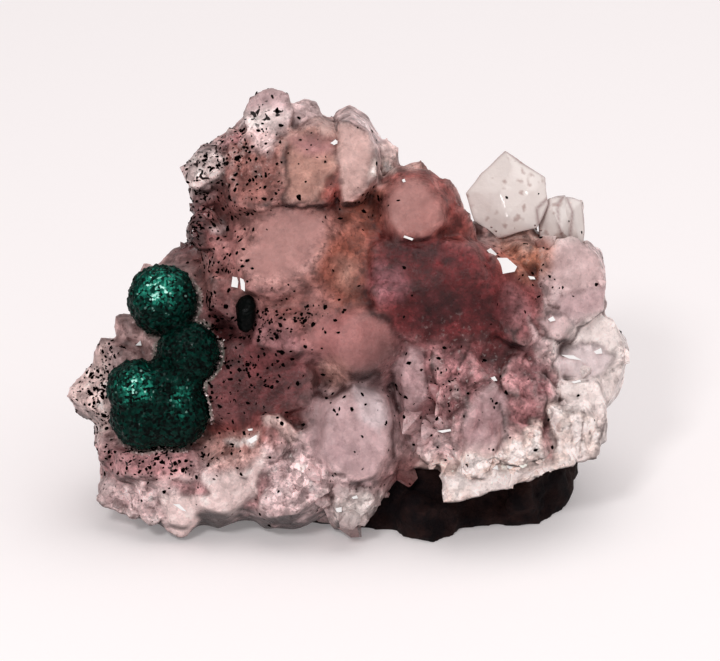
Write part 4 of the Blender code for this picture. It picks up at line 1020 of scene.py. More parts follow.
def paint_quartz(mesh, tone, broken, facing):
    """Stores the quartz's tint on each point: stains, faces, seams, clouds, crease stain with painted shade,
    painted shade under overhangs, and worn edges with painted highlight.
    """
    points = points_of(mesh)
    places = show_places(points)
    own = quartz_tints(wandered(places, 2.0))
    faces = crystal_faces(points)
    size = np.bincount(faces).astype(float)
    mean = np.stack([np.bincount(faces, own[:, i]) / np.maximum(size, 1) for i in range(3)], 1)
    mean *= np.random.default_rng(3).normal(1, FACE_SPREAD, len(size))[:, None]
    own = own * (1 - FACE_SHARE) + mean[faces] * FACE_SHARE
    for stain, _, _, inside, edge in face_shares(places, facing):
        own = stained(own, STAINS[stain][0], inside * FACE_PAINT)
        own = stained(own, SEAM_AND_CREASE_SHADE, edge * RIM_DARK)
    loose = wandered(places, 1.2)
    for half, line in SEAMS.values():
        own = stained(own, SEAM_AND_CREASE_SHADE, np.exp(-((gap_to(loose, line) / half) ** 2)) * facing * SEAM_DARK)
    mottled = 1 - clean_share(places) * facing
    broken = broken * mottled
    clouds = noise_at(points, 1.0) + 0.6 * noise_at(points, 0.45)
    pale = (np.clip(clouds, 0, 0.5) * CLOUDY * mottled)[:, None] * np.array(CLOUD_TINT)
    own *= 1 + pale + (np.clip(clouds, -0.45, 0) * CLOUDY * mottled)[:, None]
    crease = creases(mesh, 2)
    fused = share_of(places, SMOOTH_PATCHES) * facing
    granular = share_of(places, CRUST_PATCHES)
    # Painted shade in the creases, with some iron stain; less where crystals fused smooth or the crust is
    # granular.
    crease_shade_and_stain = np.clip(-crease * 2.4 - creases(mesh, 12) * 3.0, 0, 0.85)
    own = stained(own, SEAM_AND_CREASE_SHADE, crease_shade_and_stain * (1 - np.maximum(0.7 * fused, 0.5 * granular)))
    own *= (QUARTZ_LIGHT * (1 + np.clip(tone, -1, 1) * 0.6))[:, None]
    # Convex edges lightened: wear, and painted highlight, most where the surface is broken into blocks.
    own = stained(own, WORN_AND_LIT_EDGE, np.clip(crease * (0.25 + 2.0 * broken), 0, 0.6))
    own = stained(own, FRINGE, np.clip(1.4 - np.abs(malachite_gap(places) - 0.15) / FRINGE_GLOW, 0, 0.6))
    # Painted shade on faces that look down, where the crust hangs over.
    own = stained(own, UNDERSIDE_SHADE, np.clip(-points_of(mesh, "normal")[:, 2] * 3 - 1.1, 0, 0.93))
    store_tint(mesh, np.minimum(own, linear(WORN_AND_LIT_EDGE)))
    store(mesh, "broken", broken)
    store(mesh, "mottled", mottled * (1 - 0.7 * granular))
    store(mesh, "marbled", share_of(places, MARBLED_PATCHES) * facing)


# ---------------------------------------------------------------- specks and small crystals


def surface_spots(obj, density, rng):
    """Spots over an object's surface, as many to a square millimetre as density says at each face.

    Gives the spots' places in millimetres and the surface's normals there.
    """
    mesh = obj.data
    mesh.calc_loop_triangles()
    corners = np.empty(len(mesh.loop_triangles) * 3, np.int64)
    mesh.loop_triangles.foreach_get("vertices", corners)
    corners = corners.reshape(-1, 3)
    co = points_of(mesh) / MM
    a, b, c = (co[corners[:, i]] for i in range(3))
    cross = np.cross(b - a, c - a)
    area = np.linalg.norm(cross, axis=1) / 2
    wanted = area * density(show_places((a + b + c) / 3))
    picked = np.flatnonzero(rng.random(len(area)) < wanted)
    u, v = rng.random((2, len(picked), 1))
    fold = u + v > 1
    u, v = np.where(fold, 1 - u, u), np.where(fold, 1 - v, v)
    spots = a[picked] + (b[picked] - a[picked]) * u + (c[picked] - a[picked]) * v
    return spots, cross[picked] / (2 * area[picked, None] + 1e-9)


def frames_at(normals, rng):
    """A set of three axes for each normal, the third along it, turned about it by chance."""
    some = rng.normal(size=normals.shape)
    right = np.cross(some, normals)
    right /= np.linalg.norm(right, axis=1)[:, None] + 1e-9
    return np.stack([right, np.cross(normals, right), normals], 2)


def copies(name, spots, axes, points, faces):
    """One mesh of many small closed shapes, each with its own points and turned to its own axes."""
    points = np.einsum("nij,nkj->nki", axes, points) + spots[:, None]
    order = faces[None] + (np.arange(len(spots)) * points.shape[1])[:, None, None]
    mesh = bpy.data.meshes.new(name)
    mesh.from_pydata(points.reshape(-1, 3).tolist(), [], order.reshape(-1, 3).tolist())
    return mesh


PYRAMID_RISE = 1.1  # how high the point of a crystal is, in half widths
ROOT = 0.7  # how deep it is rooted, in lengths
LOWEST_SHOULDER = -0.4  # how deep its point may start, in lengths
UNEVEN_SIDES = (0.78, 1.12)
UNEVEN_SHOULDER = 0.22  # in half widths
POINT_OFF = 0.3  # how far its point may lie off its middle, in half widths


def pointed_crystals(name, spots, axes, widths, lengths, rng):
    """One mesh of many six-sided crystals, each rooted at a spot and ending in its own uneven point."""
    count = len(spots)
    turn = np.arange(6) * math.tau / 6
    ring = np.stack([np.cos(turn), np.sin(turn)], 1)
    points = np.zeros((count, 13, 3))
    uneven = rng.uniform(*UNEVEN_SIDES, (count, 6, 1))
    points[:, 0:6, :2] = points[:, 6:12, :2] = ring * uneven * widths[:, None, None]
    points[:, 0:6, 2] = -ROOT * lengths[:, None]
    shoulder = np.maximum(lengths - PYRAMID_RISE * widths, LOWEST_SHOULDER * lengths)
    steps = rng.uniform(-UNEVEN_SHOULDER, UNEVEN_SHOULDER, (count, 6))
    points[:, 6:12, 2] = shoulder[:, None] + steps * widths[:, None]
    points[:, 12, :2] = rng.uniform(-POINT_OFF, POINT_OFF, (count, 2)) * widths[:, None]
    points[:, 12, 2] = lengths
    faces = []
    for i in range(6):
        j = (i + 1) % 6
        faces += [[i, j, 6 + j], [i, 6 + j, 6 + i], [6 + i, 6 + j, 12]]
    faces += [[0, i + 1, i] for i in range(1, 5)]
    return copies(name, spots, axes, points, np.array(faces))


SPECK_LENGTH = (0.07, 0.24)  # half the length of a speck
SPECK_CROWD = 1.5
SPECK_CLUMP = 1.1  # the size of a clump of specks
SPECK_ROUGH = 0.4


def iron_specks(grounds):
    """Black specks of iron oxide that grew on the quartz."""
    rng = np.random.default_rng(5)

    def density(places):
        clumps = np.clip(1.3 + noise_at(places, SPECK_CLUMP) * 2.4, 0.1, 3.0)
        number = share_of(places, SPECK_PATCHES, SPECKS_EVERYWHERE) * clumps
        return number * (1 - clean_share(places)) * SPECK_CROWD

    found = [surface_spots(ground, density, rng) for ground in grounds]
    spots, normals = (np.concatenate(parts) for parts in zip(*found))
    length = rng.uniform(*SPECK_LENGTH, len(spots)) * rng.uniform(0.6, 1.15, len(spots))
    sizes = np.stack([length, length * rng.uniform(0.4, 0.9, len(spots)), length * 0.4], 1)
    axes = frames_at(normals, rng)
    grain = bmesh.new()
    bmesh.ops.create_icosphere(grain, subdivisions=1, radius=1)
    grain.verts.index_update()
    shape = np.array([v.co for v in grain.verts])
    faces = np.array([[v.index for v in f.verts] for f in grain.faces])
    grain.free()
    rough = 1 + rng.uniform(-SPECK_ROUGH, SPECK_ROUGH, (len(spots), len(shape), 1))
    mesh = copies("iron_specks", spots, axes, shape[None] * rough * sizes[:, None], faces)
    return piece_of("iron_specks", mesh, 60)


# Small crystals on the quartz: patches (a strength is a number to a square millimetre), half width, length in
# half widths, the way they point (across, up, out), how loosely.
SMALL_CRYSTALS = {
    "low_blocks": ([
        ((-16.8, -1.2), (3.2, 1.2), 0.3), ((-4.4, 0.6), (2.2, 1.4), 0.5), ((0.2, -1.0), (1.8, 1.4), 0.8),
        ((-1.6, 1.4), (1.8, 0.9), 0.3), ((5.6, 4.2), (2.0, 1.6), 0.5), ((8.2, 4.0), (1.8, 1.4), 0.5),
        ((2.6, 1.6), (1.4, 0.9), 0.3),
    ], (0.3, 1.3), (0.7, 1.2), (0.0, 0.1, 0.6), 0.6),
    "upper_left": ([((-9.6, 27.0), (2.4, 2.0), 0.12), ((-12.4, 22.0), (1.6, 2.4), 0.25)], (0.3, 0.8),
        (0.8, 1.4), (-0.3, 0.5, 0.4), 0.5),
    "columns": ([((7.6, 6.4), (4.6, 1.6), 0.06), ((11.2, 10.0), (3.0, 1.4), 0.05)], (0.4, 1.0), (1.6, 2.6),
        (0.04, 0.9, 0.4), 0.2),
    "buff_grains": ([((12.8, 1.8), (4.8, 1.6), 1.3)], (0.12, 0.42), (0.6, 1.1), (0.0, 0.1, 0.8), 0.5),
    "right_flank": ([
        ((20.0, 10.4), (2.6, 3.0), 0.15), ((14.8, 20.8), (3.0, 1.4), 0.1), ((20.4, 16.6), (1.2, 2.6), 0.15),
    ], (0.4, 1.0), (0.7, 1.1), (0.45, 0.1, 0.5), 0.5),
}
# At the sides and the back: number, half width, length, how loosely.
AROUND = (0.308, (0.4, 1.3), (0.8, 1.5), 0.5)
SHOWN_FACE_LIMIT = 0.35  # how far out the sides and the back reach
KEEP_OFF_FLOOR = 0.7
KEEP_IN_BOX = 0.1
KEEP_OFF_MALACHITE = 0.5
FIELD_SHADES = (1.08, 0.18)  # how light the small crystals are beside the quartz, and how much they differ
FIELD_MOTTLE = 0.7
GROWN_OUTWARD = 0.35  # how much an aimed crystal still follows the surface


def crystal_field(name, quartz, density, widths, lengths, aim, loose, rng):
    """Small crystals rooted in the quartz, each with its own shade of the quartz's tint."""
    spots, normals = surface_spots(quartz, density, rng)
    outward = normals if aim is None else normals * GROWN_OUTWARD + np.array(show(*aim))
    lean = outward + rng.normal(scale=loose, size=normals.shape)
    lean /= np.linalg.norm(lean, axis=1)[:, None]
    width = np.maximum(rng.uniform(*widths, len(spots)) ** 2 / widths[1], widths[0])
    length = width * rng.uniform(*lengths, len(spots))
    tips = spots + lean * length[:, None]
    low, high = (np.array(corner) / MM for corner in (cad_low, cad_high))
    keep = ((tips > low + KEEP_IN_BOX) & (tips < high - KEEP_IN_BOX)).all(1)
    keep &= (spots[:, 2] > KEEP_OFF_FLOOR) & (tips[:, 2] > KEEP_OFF_FLOOR)
    keep &= malachite_gap(show_places(spots)) > KEEP_OFF_MALACHITE
    spots, lean, width, length = spots[keep], lean[keep], width[keep], length[keep]
    mesh = pointed_crystals(name, spots, frames_at(lean, rng), width, length, rng)
    own = quartz_tints(wandered(show_places(points_of(mesh)), 2.0))
    shade = np.repeat(rng.normal(*FIELD_SHADES, len(spots)), len(own) // max(len(spots), 1))
    store_tint(mesh, own * shade[:, None])
    store(mesh, "mottled", np.full(len(own), FIELD_MOTTLE))
    return piece_of(name, mesh)


def small_crystals(quartz):
    """All the fields of small crystals."""
    rng = np.random.default_rng(7)
    fields = []
    for name, (patches, *sizes) in SMALL_CRYSTALS.items():

        def density(places, patches=patches):
            return share_of(places, patches) * (1 - clean_share(places))

        fields.append(crystal_field(name, quartz, density, *sizes, rng))
    number, widths, lengths, loose = AROUND

    def behind(places):
        return np.where(places[:, 2] < SHOWN_FACE_LIMIT, number, 0.0)

    fields.append(crystal_field("around", quartz, behind, widths, lengths, None, loose, rng))
    return fields


FRINGE_REACH = 0.6  # how far from the malachite the fringe grows
FRINGE_CROWD = 7.0  # crystals of the fringe to a square millimetre
FRINGE_WIDTHS = (0.05, 0.11)
FRINGE_LENGTHS = (1.2, 2.4)  # in half widths
FRINGE_LOOSE = 0.35


def white_fringe(quartz):
    """A thin fur of tiny clear crystals along the edge of the malachite."""
    rng = np.random.default_rng(6)

    def density(places):
        gap = malachite_gap(places)
        return np.where((gap > 0.0) & (gap < FRINGE_REACH), FRINGE_CROWD, 0.0)

    spots, normals = surface_spots(quartz, density, rng)
    lean = normals + rng.normal(scale=FRINGE_LOOSE, size=normals.shape)
    lean /= np.linalg.norm(lean, axis=1)[:, None]
    widths = rng.uniform(*FRINGE_WIDTHS, len(spots))
    lengths = widths * rng.uniform(*FRINGE_LENGTHS, len(spots))
    mesh = pointed_crystals("fringe", spots, frames_at(lean, rng), widths, lengths, rng)
    return piece_of("white_fringe", mesh)


def bright_faces(quartz):
    """Small chips painted near white, as glints of crystal faces that catch the light."""
    tree = BVHTree.FromPolygons(
        (points_of(quartz.data) / MM).tolist(), [tuple(face.vertices) for face in quartz.data.polygons]
    )
    bm = bmesh.new()
    for outline in BRIGHT_FACES.values():
        middle = np.mean(outline, 0)
        found = tree.ray_cast(show(*middle, 40), -SHOW_OUT)[0]
        if found is None:
            continue
        out = found.dot(SHOW_OUT) + BRIGHT_LIFT
        front = []
        back = []
        for across, up in outline:
            front.append(bm.verts.new(show(across, up, out - BRIGHT_TILT * (up - middle[1]))))
            back.append(bm.verts.new(show(across, up, out - BRIGHT_ROOT)))
        bm.faces.new(front)
        bm.faces.new(back[::-1])
        for i, vert in enumerate(front):
            j = (i + 1) % len(front)
            bm.faces.new([vert, back[i], back[j], front[j]])
    bmesh.ops.recalc_face_normals(bm, faces=bm.faces[:])
    return piece_of("bright_faces", mesh_from("bright_faces", bm))


# ---------------------------------------------------------------- malachite and rock

# Balls of malachite: middle (across, up, out) and radius.
MALACHITE_BALLS = {
    "top": ((-14.8, 15.7, 10.6), 2.75),
    "right": ((-12.7, 11.4, 11.3), 2.45),
    "bright": ((-16.9, 8.6, 11.6), 2.25),
    "low_left": ((-16.3, 6.4, 10.6), 2.65),
    "low_right": ((-13.7, 6.5, 11.0), 2.6),
    "joint": ((-13.9, 9.0, 10.7), 2.5),
    "low_joint": ((-15.0, 6.6, 10.9), 2.6),
}
MALACHITE_BEAD = ((-8.0, 14.6, 12.6), (0.85, 1.55, 0.9))  # middle and half sizes
MALACHITE_GROWTH = 0.05  # how much the velvet of crystals adds to a ball
# Where the malachite catches the light: painted highlight, with a few painted glints.
PAINTED_HIGHLIGHT_PATCHES = [
    ((-15.0, 16.6), (1.7, 1.5), 1.0), ((-16.8, 8.8), (1.4, 1.3), 1.0), ((-13.2, 7.8), (0.8, 1.4), 0.5),
]
MALACHITE_VOXEL = 0.11
BEAD_VOXEL = 0.07
MALACHITE_KNOB = (1.15, 1.15, 1.15)
MALACHITE_GRAIN = (0.34, 0.34, 0.34)


def malachite_gap(places):
    """How far each place is from the malachite."""
    gaps = [np.linalg.norm(places - np.array(c), axis=1) - r for c, r in MALACHITE_BALLS.values()]
    return np.min(gaps, 0)


def botryoidal(name, bm, voxel, knob_relief, grain_relief, rounds):
    """Balls fused into one, covered with small knobs and tiny crystals."""
    mesh = voxelled(name, bm, voxel)
    smooth_points(mesh, rounds, lambda i: np.ones(len(mesh.vertices)))
    co = points_of(mesh)
    places = show_places(co)
    normals = points_of(mesh, "normal")
    crease = creases(mesh, 14)
    knobs, _ = block_relief(places, MALACHITE_KNOB, 31, rounded=True)
    grains, _ = block_relief(places, MALACHITE_GRAIN, 33)
    set_points(mesh, co + normals * ((knobs - 0.4) * knob_relief + (grains - 0.1) * grain_relief)[:, None])
    # Painted shade in the creases between the balls, and painted highlight where they catch the light.
    store(mesh, "deep", np.clip(-crease * 9, 0, 1))
    store(mesh, "lit", share_of(places, PAINTED_HIGHLIGHT_PATCHES))
    return piece_of(name, mesh, 30)


def malachite_balls():
    """The group of balls at the left."""
    bm = bmesh.new()
    for centre, radius in MALACHITE_BALLS.values():
        ball(bm, centre, (radius + MALACHITE_GROWTH,) * 3)
    return botryoidal("malachite_balls", bm, MALACHITE_VOXEL, knob_relief=0.28, grain_relief=0.8, rounds=12)


def malachite_lone_bead():
    """The small dark ball by itself."""
    bm = bmesh.new()
    ball(bm, *MALACHITE_BEAD)
    return botryoidal("lone_bead", bm, BEAD_VOXEL, knob_relief=0.2, grain_relief=0.25, rounds=3)


ROCK_VOXEL = 0.32
# The rock's chunks and its grit: size, seed, which height counts as level, how strongly they stand out.
ROCK_LUMPS = ((2.6, 41, 0.9, 0.5), (0.9, 43, 0.3, 0.6))
ROCK_LIMITS = (-0.7, 0.3)  # how far the rock may be worn away and may stand out


def host_rock():
    """The host rock: broken faces, pitted and granular, flat underneath."""
    mesh = voxelled("rock", from_node("matrix_rock"), ROCK_VOXEL)
    smooth_points(mesh, 3, lambda i: np.ones(len(mesh.vertices)))
    co = points_of(mesh)
    places = show_places(co)
    off_floor = np.clip((co[:, 2] - 0.15) / 0.6, 0, 1)
    shift = np.zeros(len(co))
    for size, seed, level, stands in ROCK_LUMPS:
        shift += (block_relief(places, (size,) * 3, seed)[0] - level) * stands
    co += points_of(mesh, "normal") * (np.clip(shift, *ROCK_LIMITS) * off_floor)[:, None]
    co[:, 2] = np.maximum(co[:, 2], 0)
    set_points(mesh, co)
    return piece_of("host_stone", mesh, 35)


# ---------------------------------------------------------------- materials

# The scale of a pattern is in cells to a millimetre, as millimetres() gives it the place.


def add(tree, kind, inputs=None, **settings):
    """Adds a node: its settings, and its inputs as values or as sockets to link."""
    node = tree.nodes.new("ShaderNode" + kind)
    for name, value in settings.items():
        setattr(node, name, value)
    for name, value in (inputs or {}).items():
        if isinstance(value, bpy.types.NodeSocket):
            tree.links.new(value, node.inputs[name])
        else:
            node.inputs[name].default_value = value
    return node


def surface(name, shader_inputs):
    """A material with only a Principled shader, and its tree and shader."""
    material = bpy.data.materials.new(name)
    material.use_nodes = True
    shader = material.node_tree.nodes["Principled BSDF"]
    for socket, value in shader_inputs.items():
        shader.inputs[socket].default_value = value
    return material, material.node_tree, shader


def rgba(hex_colour):
    """An sRGB hex colour as a shader takes it."""
    return (*linear(hex_colour), 1)


def millimetres(tree):
    """The place on the specimen, in millimetres."""
    place = add(tree, "NewGeometry").outputs["Position"]
    return add(tree, "VectorMath", {0: place, 1: (1000, 1000, 1000)}, operation="MULTIPLY").outputs[0]


# The small facets: size, how much they differ in tone, how strongly they lean.
CELLS = ((1.6, 0.6, 1.1), (0.5, 0.7, 0.35), (0.2, 0.5, 0.0))
CLOUD_SHARE = 0.7  # how much the clouds differ in tone


def quartz(name, gloss, roughness, waxy):
    """Quartz, grown and unpolished: waxy light inside, under faces that are glassy or dulled."""
    material, tree, shader = surface(
        name,
        {
            "IOR": 1.55,
            "Specular IOR Level": gloss,
            "Subsurface Weight": waxy,
            "Subsurface Scale": 0.0002,
            "Subsurface Radius": (1.0, 0.66, 0.62),
        },
    )
    place = millimetres(tree)
    colour = add(tree, "VertexColor", layer_name="tint").outputs["Color"]
    broken = add(tree, "Attribute", attribute_name="broken").outputs["Fac"]
    marbled = add(tree, "Attribute", attribute_name="marbled").outputs["Fac"]
    mottled = add(tree, "Attribute", attribute_name="mottled").outputs["Fac"]
    even = add(tree, "Math", {0: mottled, 1: 0.55, 2: 0.05}, operation="MULTIPLY_ADD").outputs[0]
    contrast = add(tree, "Math", {0: broken, 1: 0.5, 2: even}, operation="MULTIPLY_ADD").outputs[0]
    facet = add(tree, "Math", {0: mottled, 1: 0.12, 2: broken}, operation="MULTIPLY_ADD").outputs[0]
    bend = add(tree, "TexNoise", {"Vector": place, "Scale": 0.9, "Detail": 2.0}).outputs["Color"]
    bent = add(tree, "VectorMath", {0: bend, 1: (0.6,) * 3, 2: place}, operation="MULTIPLY_ADD").outputs[0]
    # Growth marks 0.4 mm apart bend the light, and small facets lean their own ways and differ in tone.
    growth = add(tree, "TexNoise", {"Vector": place, "Scale": 2.6, "Detail": 5.0, "Roughness": 0.62})
    bump = add(tree, "Bump", {"Height": growth.outputs["Fac"], "Strength": 0.5, "Distance": 0.0002})
    turned = bump.outputs["Normal"]
    cloud = add(tree, "TexNoise", {"Vector": place, "Scale": 0.8, "Detail": 8.0, "Roughness": 0.75})
    cloud = cloud.outputs["Fac"]
    spread = add(tree, "MapRange", {"Value": cloud, "From Min": 0.3, "From Max": 0.7}).outputs["Result"]
    patterns = [(spread, CLOUD_SHARE)]
    for size, share, slant in CELLS:
        cells = add(tree, "TexVoronoi", {"Vector": bent, "Scale": 1 / size}).outputs["Color"]
        patterns.append((add(tree, "SeparateColor", {"Color": cells}).outputs[0], share))
        lean = add(tree, "VectorMath", {0: cells, 1: (-0.5, -0.5, -0.5)}, operation="ADD").outputs[0]
        lean = add(tree, "VectorMath", {0: lean, 1: (slant,) * 3}, operation="MULTIPLY").outputs[0]
        lean = add(tree, "VectorMath", {0: lean, "Scale": facet}, operation="SCALE").outputs[0]
        turned = add(tree, "VectorMath", {0: turned, 1: lean}, operation="ADD").outputs[0]
    for pattern, share in patterns:
        tone = add(tree, "Math", {0: pattern, 1: share, 2: -share / 2}, operation="MULTIPLY_ADD").outputs[0]
        tone = add(tree, "Math", {0: tone, 1: contrast, 2: 1.0}, operation="MULTIPLY_ADD").outputs[0]
        colour = add(tree, "VectorMath", {0: colour, "Scale": tone}, operation="SCALE").outputs[0]
    # Pale flecks 0.4 mm across, painted glints where the surface is broken, dirt of the same size, dark worms
    # of iron oxide 0.5 mm across, and open cracks.
    flaws = add(tree, "TexNoise", {"Vector": place, "Scale": 2.4, "Detail": 4.0, "Roughness": 0.65})
    flaws = flaws.outputs["Fac"]
    pale = add(tree, "MapRange", {"Value": flaws, "From Min": 0.58, "From Max": 0.72}).outputs["Result"]
    pale = add(tree, "Math", {0: pale, 1: broken}, operation="MULTIPLY").outputs[0]
    dirt = add(tree, "MapRange", {"Value": flaws, "From Min": 0.47, "From Max": 0.30, "To Max": 0.75})
    dirt = add(tree, "Math", {0: dirt.outputs["Result"], 1: mottled}, operation="MULTIPLY").outputs[0]
    worms = add(tree, "TexNoise", {"Vector": bent, "Scale": 2.0, "Detail": 1.5, "Distortion": 0.3})
    worms = {0: marbled, 1: 0.12, 2: worms.outputs["Fac"]}
    worms = add(tree, "Math", worms, operation="MULTIPLY_ADD").outputs[0]
    worms = add(tree, "MapRange", {"Value": worms, "From Min": 0.66, "From Max": 0.70}).outputs["Result"]
    soiled = add(tree, "Math", {0: marbled, 1: 3.0}, operation="MULTIPLY", use_clamp=True).outputs[0]
    soiled = add(tree, "Math", {0: soiled, 1: worms}, operation="MULTIPLY", use_clamp=True).outputs[0]
    cracks = add(tree, "TexVoronoi", {"Vector": bent, "Scale": 1 / CELLS[0][0]}, feature="DISTANCE_TO_EDGE")
    near = {"Value": cracks.outputs["Distance"], "From Min": 0.01, "From Max": 0.05}
    cracks = add(tree, "MapRange", near | {"To Min": 0.8, "To Max": 0.0}).outputs["Result"]
    gaping = add(tree, "MapRange", {"Value": cloud, "From Min": 0.44, "From Max": 0.6, "To Max": 0.9})
    cracks = add(tree, "Math", {0: cracks, 1: gaping.outputs["Result"]}, operation="MULTIPLY").outputs[0]
    cracks = add(tree, "Math", {0: cracks, 1: facet}, operation="MULTIPLY", use_clamp=True).outputs[0]
    for seen, flaw in ((pale, "#f6e6e1"), (dirt, "#3c1614"), (soiled, "#190909"), (cracks, "#33120f")):
        mix = add(tree, "Mix", {"Factor": seen, "A": colour, "B": rgba(flaw)}, data_type="RGBA")
        colour = mix.outputs["Result"]
    tree.links.new(colour, shader.inputs["Base Color"])
    haze = add(tree, "TexNoise", {"Vector": place, "Scale": 1.4, "Detail": 3.0}).outputs["Fac"]
    rough = add(tree, "MapRange", {"Value": haze, "To Min": roughness[0], "To Max": roughness[1]})
    tree.links.new(rough.outputs["Result"], shader.inputs["Roughness"])
    normal = add(tree, "VectorMath", {0: turned}, operation="NORMALIZE").outputs[0]
    tree.links.new(normal, shader.inputs["Normal"])
    return material


def rock_crystal():
    """Rock crystal: clear quartz with a milky veil in it, its faces slightly etched."""
    finish = {"IOR": 1.54, "Roughness": 0.2, "Transmission Weight": 0.25}
    material, tree, shader = surface("rock crystal", finish)
    tint = add(tree, "VertexColor", layer_name="tint").outputs["Color"]
    place = millimetres(tree)
    # The veil drifts over 1.4 mm, and the etching's pits are 1.1 mm apart.
    veil = add(tree, "TexNoise", {"Vector": place, "Scale": 0.7, "Detail": 6.0, "Roughness": 0.6})
    veil = veil.outputs["Fac"]
    shade = add(tree, "MapRange", {"Value": veil, "From Min": 0.3, "From Max": 0.55, "To Min": 0.96})
    colour = add(tree, "VectorMath", {0: tint, "Scale": shade.outputs["Result"]}, operation="SCALE")
    tree.links.new(colour.outputs[0], shader.inputs["Base Color"])
    etched = add(tree, "TexNoise", {"Vector": place, "Scale": 0.9, "Detail": 3.0})
    bump = add(tree, "Bump", {"Height": etched.outputs["Fac"], "Strength": 0.4, "Distance": 0.0003})
    tree.links.new(bump.outputs["Normal"], shader.inputs["Normal"])
    return material


def painted_glint_quartz():
    """Near-white glassy quartz, a painted glint: colour that stands in for a face catching the light."""
    return surface("painted glint quartz", {"Base Color": rgba("#fffdfc"), "IOR": 1.55, "Roughness": 0.12})[0]


def iron_oxide():
    """Goethite: brown-black iron oxide in tiny dull grains."""
    finish = {"Base Color": rgba("#060303"), "Specular IOR Level": 0.0, "Roughness": 0.8}
    return surface("goethite", finish)[0]


def frost_quartz():
    """Fine druse: crystals so small that they look like frost."""
    return surface("frost druse", {"Base Color": rgba("#c7adab"), "IOR": 1.55, "Roughness": 0.2})[0]


# Painted shade in the creases between the malachite balls.
MALACHITE_CREASE_SHADE = "#010504"


def velvet_malachite(name, deep, mid, light, tip):
    """Malachite: a velvet of tiny green crystals, dark between them, its tips glossy; painted shade in
    creases, painted highlight and glints where lit.
    """
    material, tree, shader = surface(name, {"IOR": 1.75, "Specular IOR Level": 0.03})
    place = millimetres(tree)
    ball_crease_shade, lit = (add(tree, "Attribute", attribute_name=stored).outputs["Fac"] for stored in ("deep", "lit"))
    # Crystals 0.2 mm across, coarser than the real ones so that they show; a few larger ones, 0.4 mm, are
    # painted as glints where the balls catch the light.
    cells = add(tree, "TexVoronoi", {"Vector": place, "Scale": 4.6}).outputs["Color"]
    lot = add(tree, "SeparateColor", {"Color": cells}).outputs["Red"]
    patches = add(tree, "TexNoise", {"Vector": place, "Scale": 1.6, "Detail": 4.0}).outputs["Fac"]
    # Painted highlight: the colours are lifted where the balls catch the light.
    raised = add(tree, "Math", {0: lit, 1: 1.2, 2: 0.38}, operation="MULTIPLY_ADD").outputs[0]
    level = add(tree, "Math", {0: lot, 1: patches}, operation="MULTIPLY").outputs[0]
    level = add(tree, "Math", {0: level, 1: raised}, operation="MULTIPLY").outputs[0]
    ramp = add(tree, "ValToRGB", {"Fac": level})
    stops = ramp.color_ramp.elements
    for i, (at, shade) in enumerate(((0.04, deep), (0.26, mid), (0.62, light), (0.78, tip))):
        stop = stops[i] if i < 2 else stops.new(at)
        stop.position = at
        stop.color = rgba(shade)
    colour = ramp.outputs["Color"]
    tips = add(tree, "TexVoronoi", {"Vector": place, "Scale": 2.6})
    which = add(tree, "SeparateColor", {"Color": tips.outputs["Color"]}).outputs["Green"]
    few = add(tree, "MapRange", {"Value": which, "From Min": 0.7, "From Max": 0.9}).outputs["Result"]
    small = add(tree, "MapRange", {"Value": tips.outputs["Distance"], "From Min": 0.32, "From Max": 0.22})
    spark = add(tree, "Math", {0: few, 1: small.outputs["Result"]}, operation="MULTIPLY").outputs[0]
    spark = add(tree, "Math", {0: spark, 1: lit}, operation="MULTIPLY").outputs[0]
    # Painted shade in the creases, and painted glints where the balls are lit.
    for seen, other in ((ball_crease_shade, MALACHITE_CREASE_SHADE), (spark, tip)):
        mix = add(tree, "Mix", {"Factor": seen, "A": colour, "B": rgba(other)}, data_type="RGBA")
        colour = mix.outputs["Result"]
    tree.links.new(colour, shader.inputs["Base Color"])
    rough = add(tree, "MapRange", {"Value": lot, "To Min": 0.6, "To Max": 0.16})
    tree.links.new(rough.outputs["Result"], shader.inputs["Roughness"])
    return material


def dark_rock():
    """Iron-rich host rock, freshly broken: almost black, rusty in places, quite dull."""
    finish = {"IOR": 1.5, "Roughness": 0.75, "Specular IOR Level": 0.12}
    material, tree, shader = surface("dark ironstone", finish)
    place = millimetres(tree)
    rust = add(tree, "TexNoise", {"Vector": place, "Scale": 0.45, "Detail": 6.0, "Roughness": 0.65})
    ramp = add(tree, "ValToRGB", {"Fac": rust.outputs["Fac"]})
    for stop, at, colour in zip(ramp.color_ramp.elements, (0.42, 0.75), ("#120a0d", "#3a2420")):
        stop.position = at
        stop.color = rgba(colour)
    tree.links.new(ramp.outputs["Color"], shader.inputs["Base Color"])
    # Grit 0.3 mm across.
    grit = add(tree, "TexNoise", {"Vector": place, "Scale": 3.5, "Detail": 6.0, "Roughness": 0.7})
    bump = add(tree, "Bump", {"Height": grit.outputs["Fac"], "Strength": 0.9, "Distance": 0.0003})
    tree.links.new(bump.outputs["Normal"], shader.inputs["Normal"])
    return material


def pale_card():
    """A sheet of white card on a light table, which lifts the shadows."""
    card = {
        "Base Color": rgba("#f1ecec"),
        "Roughness": 0.9,
        "Emission Color": rgba("#f6f0f1"),
        "Emission Strength": 0.20,
    }
    return surface("pale card", card)[0]


# ---------------------------------------------------------------- assembly, light and camera


def dressed(piece, material, node):
    """Gives a piece its material, hangs it under the root body and hides the solid it stands for."""
    piece.data.materials.clear()
    piece.data.materials.append(material)
    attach(piece, "root")
    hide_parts(node)


def lamp(name, place, size, power):
    """A square soft white light, aimed at the middle of the specimen."""
    light = bpy.data.lights.new(name, "AREA")
    light.size = size * MM
    light.energy = power
    stand = placed(name, light)
    stand.location = Vector(place) * MM
    way = show(*VIEW_MIDDLE) * MM - stand.location
    stand.rotation_euler = way.to_track_quat("-Z", "Y").to_euler()


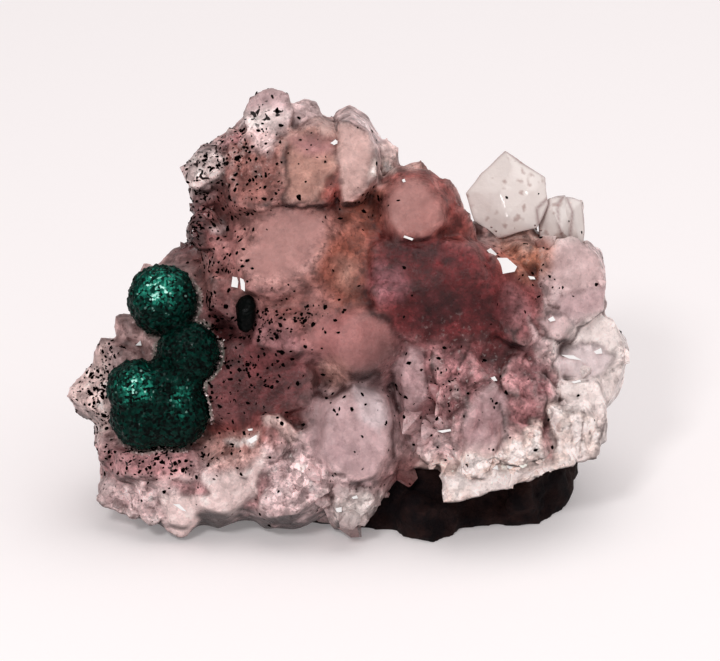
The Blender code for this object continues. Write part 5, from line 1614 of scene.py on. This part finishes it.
def camera():
    """A long lens that looks down on the specimen by SHOW_TILT."""
    lens = bpy.data.cameras.new("camera")
    lens.sensor_width = SENSOR
    lens.lens = SENSOR * CAMERA_DISTANCE / VIEW_WIDTH
    lens.clip_start = 0.01
    lens.clip_end = 10
    eye = placed("camera", lens)
    eye.location = (show(*VIEW_MIDDLE) + SHOW_OUT * CAMERA_DISTANCE) * MM
    eye.rotation_euler = (-SHOW_OUT).to_track_quat("-Z", "Y").to_euler()
    bpy.context.scene.camera = eye


CARD_SIZE = 1500  # half its width
ROOM_TINT = "#fbf6f6"
ROOM_LIGHT = 0.44
# Lamps: place, side and power in watts.
LAMPS = {"ceiling": ((110, 20, 410), 420, 0.80), "front": ((-90, -260, 260), 60, 0.4)}


def studio():
    """A pale card that runs out of sight, and soft light from above."""
    bm = bmesh.new()
    bmesh.ops.create_grid(bm, x_segments=2, y_segments=2, size=CARD_SIZE)
    floor = piece_of("card", mesh_from("card", bm))
    floor.data.materials.append(pale_card())
    world = bpy.data.worlds.new("studio")
    bpy.context.scene.world = world
    world.use_nodes = True
    world.node_tree.nodes["Background"].inputs["Color"].default_value = rgba(ROOM_TINT)
    world.node_tree.nodes["Background"].inputs["Strength"].default_value = ROOM_LIGHT
    for name, (place, size, power) in LAMPS.items():
        lamp(name, place, size, power)
    bpy.context.scene.view_settings.view_transform = "Standard"


crust = quartz_crust()
fields = small_crystals(crust)
clear = clear_crystals()
specks = iron_specks([crust, clear, *fields])
fringe = white_fringe(crust)
green = velvet_malachite("malachite", "#000504", "#06362d", "#2d9a82", "#c4fff0")
black_green = velvet_malachite("dark malachite", "#010202", "#040807", "#0b1a16", "#1c2f2a")
dressed(crust, quartz("massive quartz", 0.2, (0.15, 0.5), 0.15), "quartz_druse")
glassy = quartz("glassy quartz", 0.7, (0.02, 0.3), 0.15)
for grown in fields:
    dressed(grown, glassy, "quartz_druse")
dressed(clear, rock_crystal(), "quartz_druse")
dressed(bright_faces(crust), painted_glint_quartz(), "quartz_druse")
dressed(specks, iron_oxide(), "quartz_druse")
dressed(fringe, frost_quartz(), "quartz_druse")
dressed(malachite_balls(), green, "malachite_cluster")
dressed(malachite_lone_bead(), black_green, "malachite_bead")
dressed(host_rock(), dark_rock(), "matrix_rock")
studio()
camera()
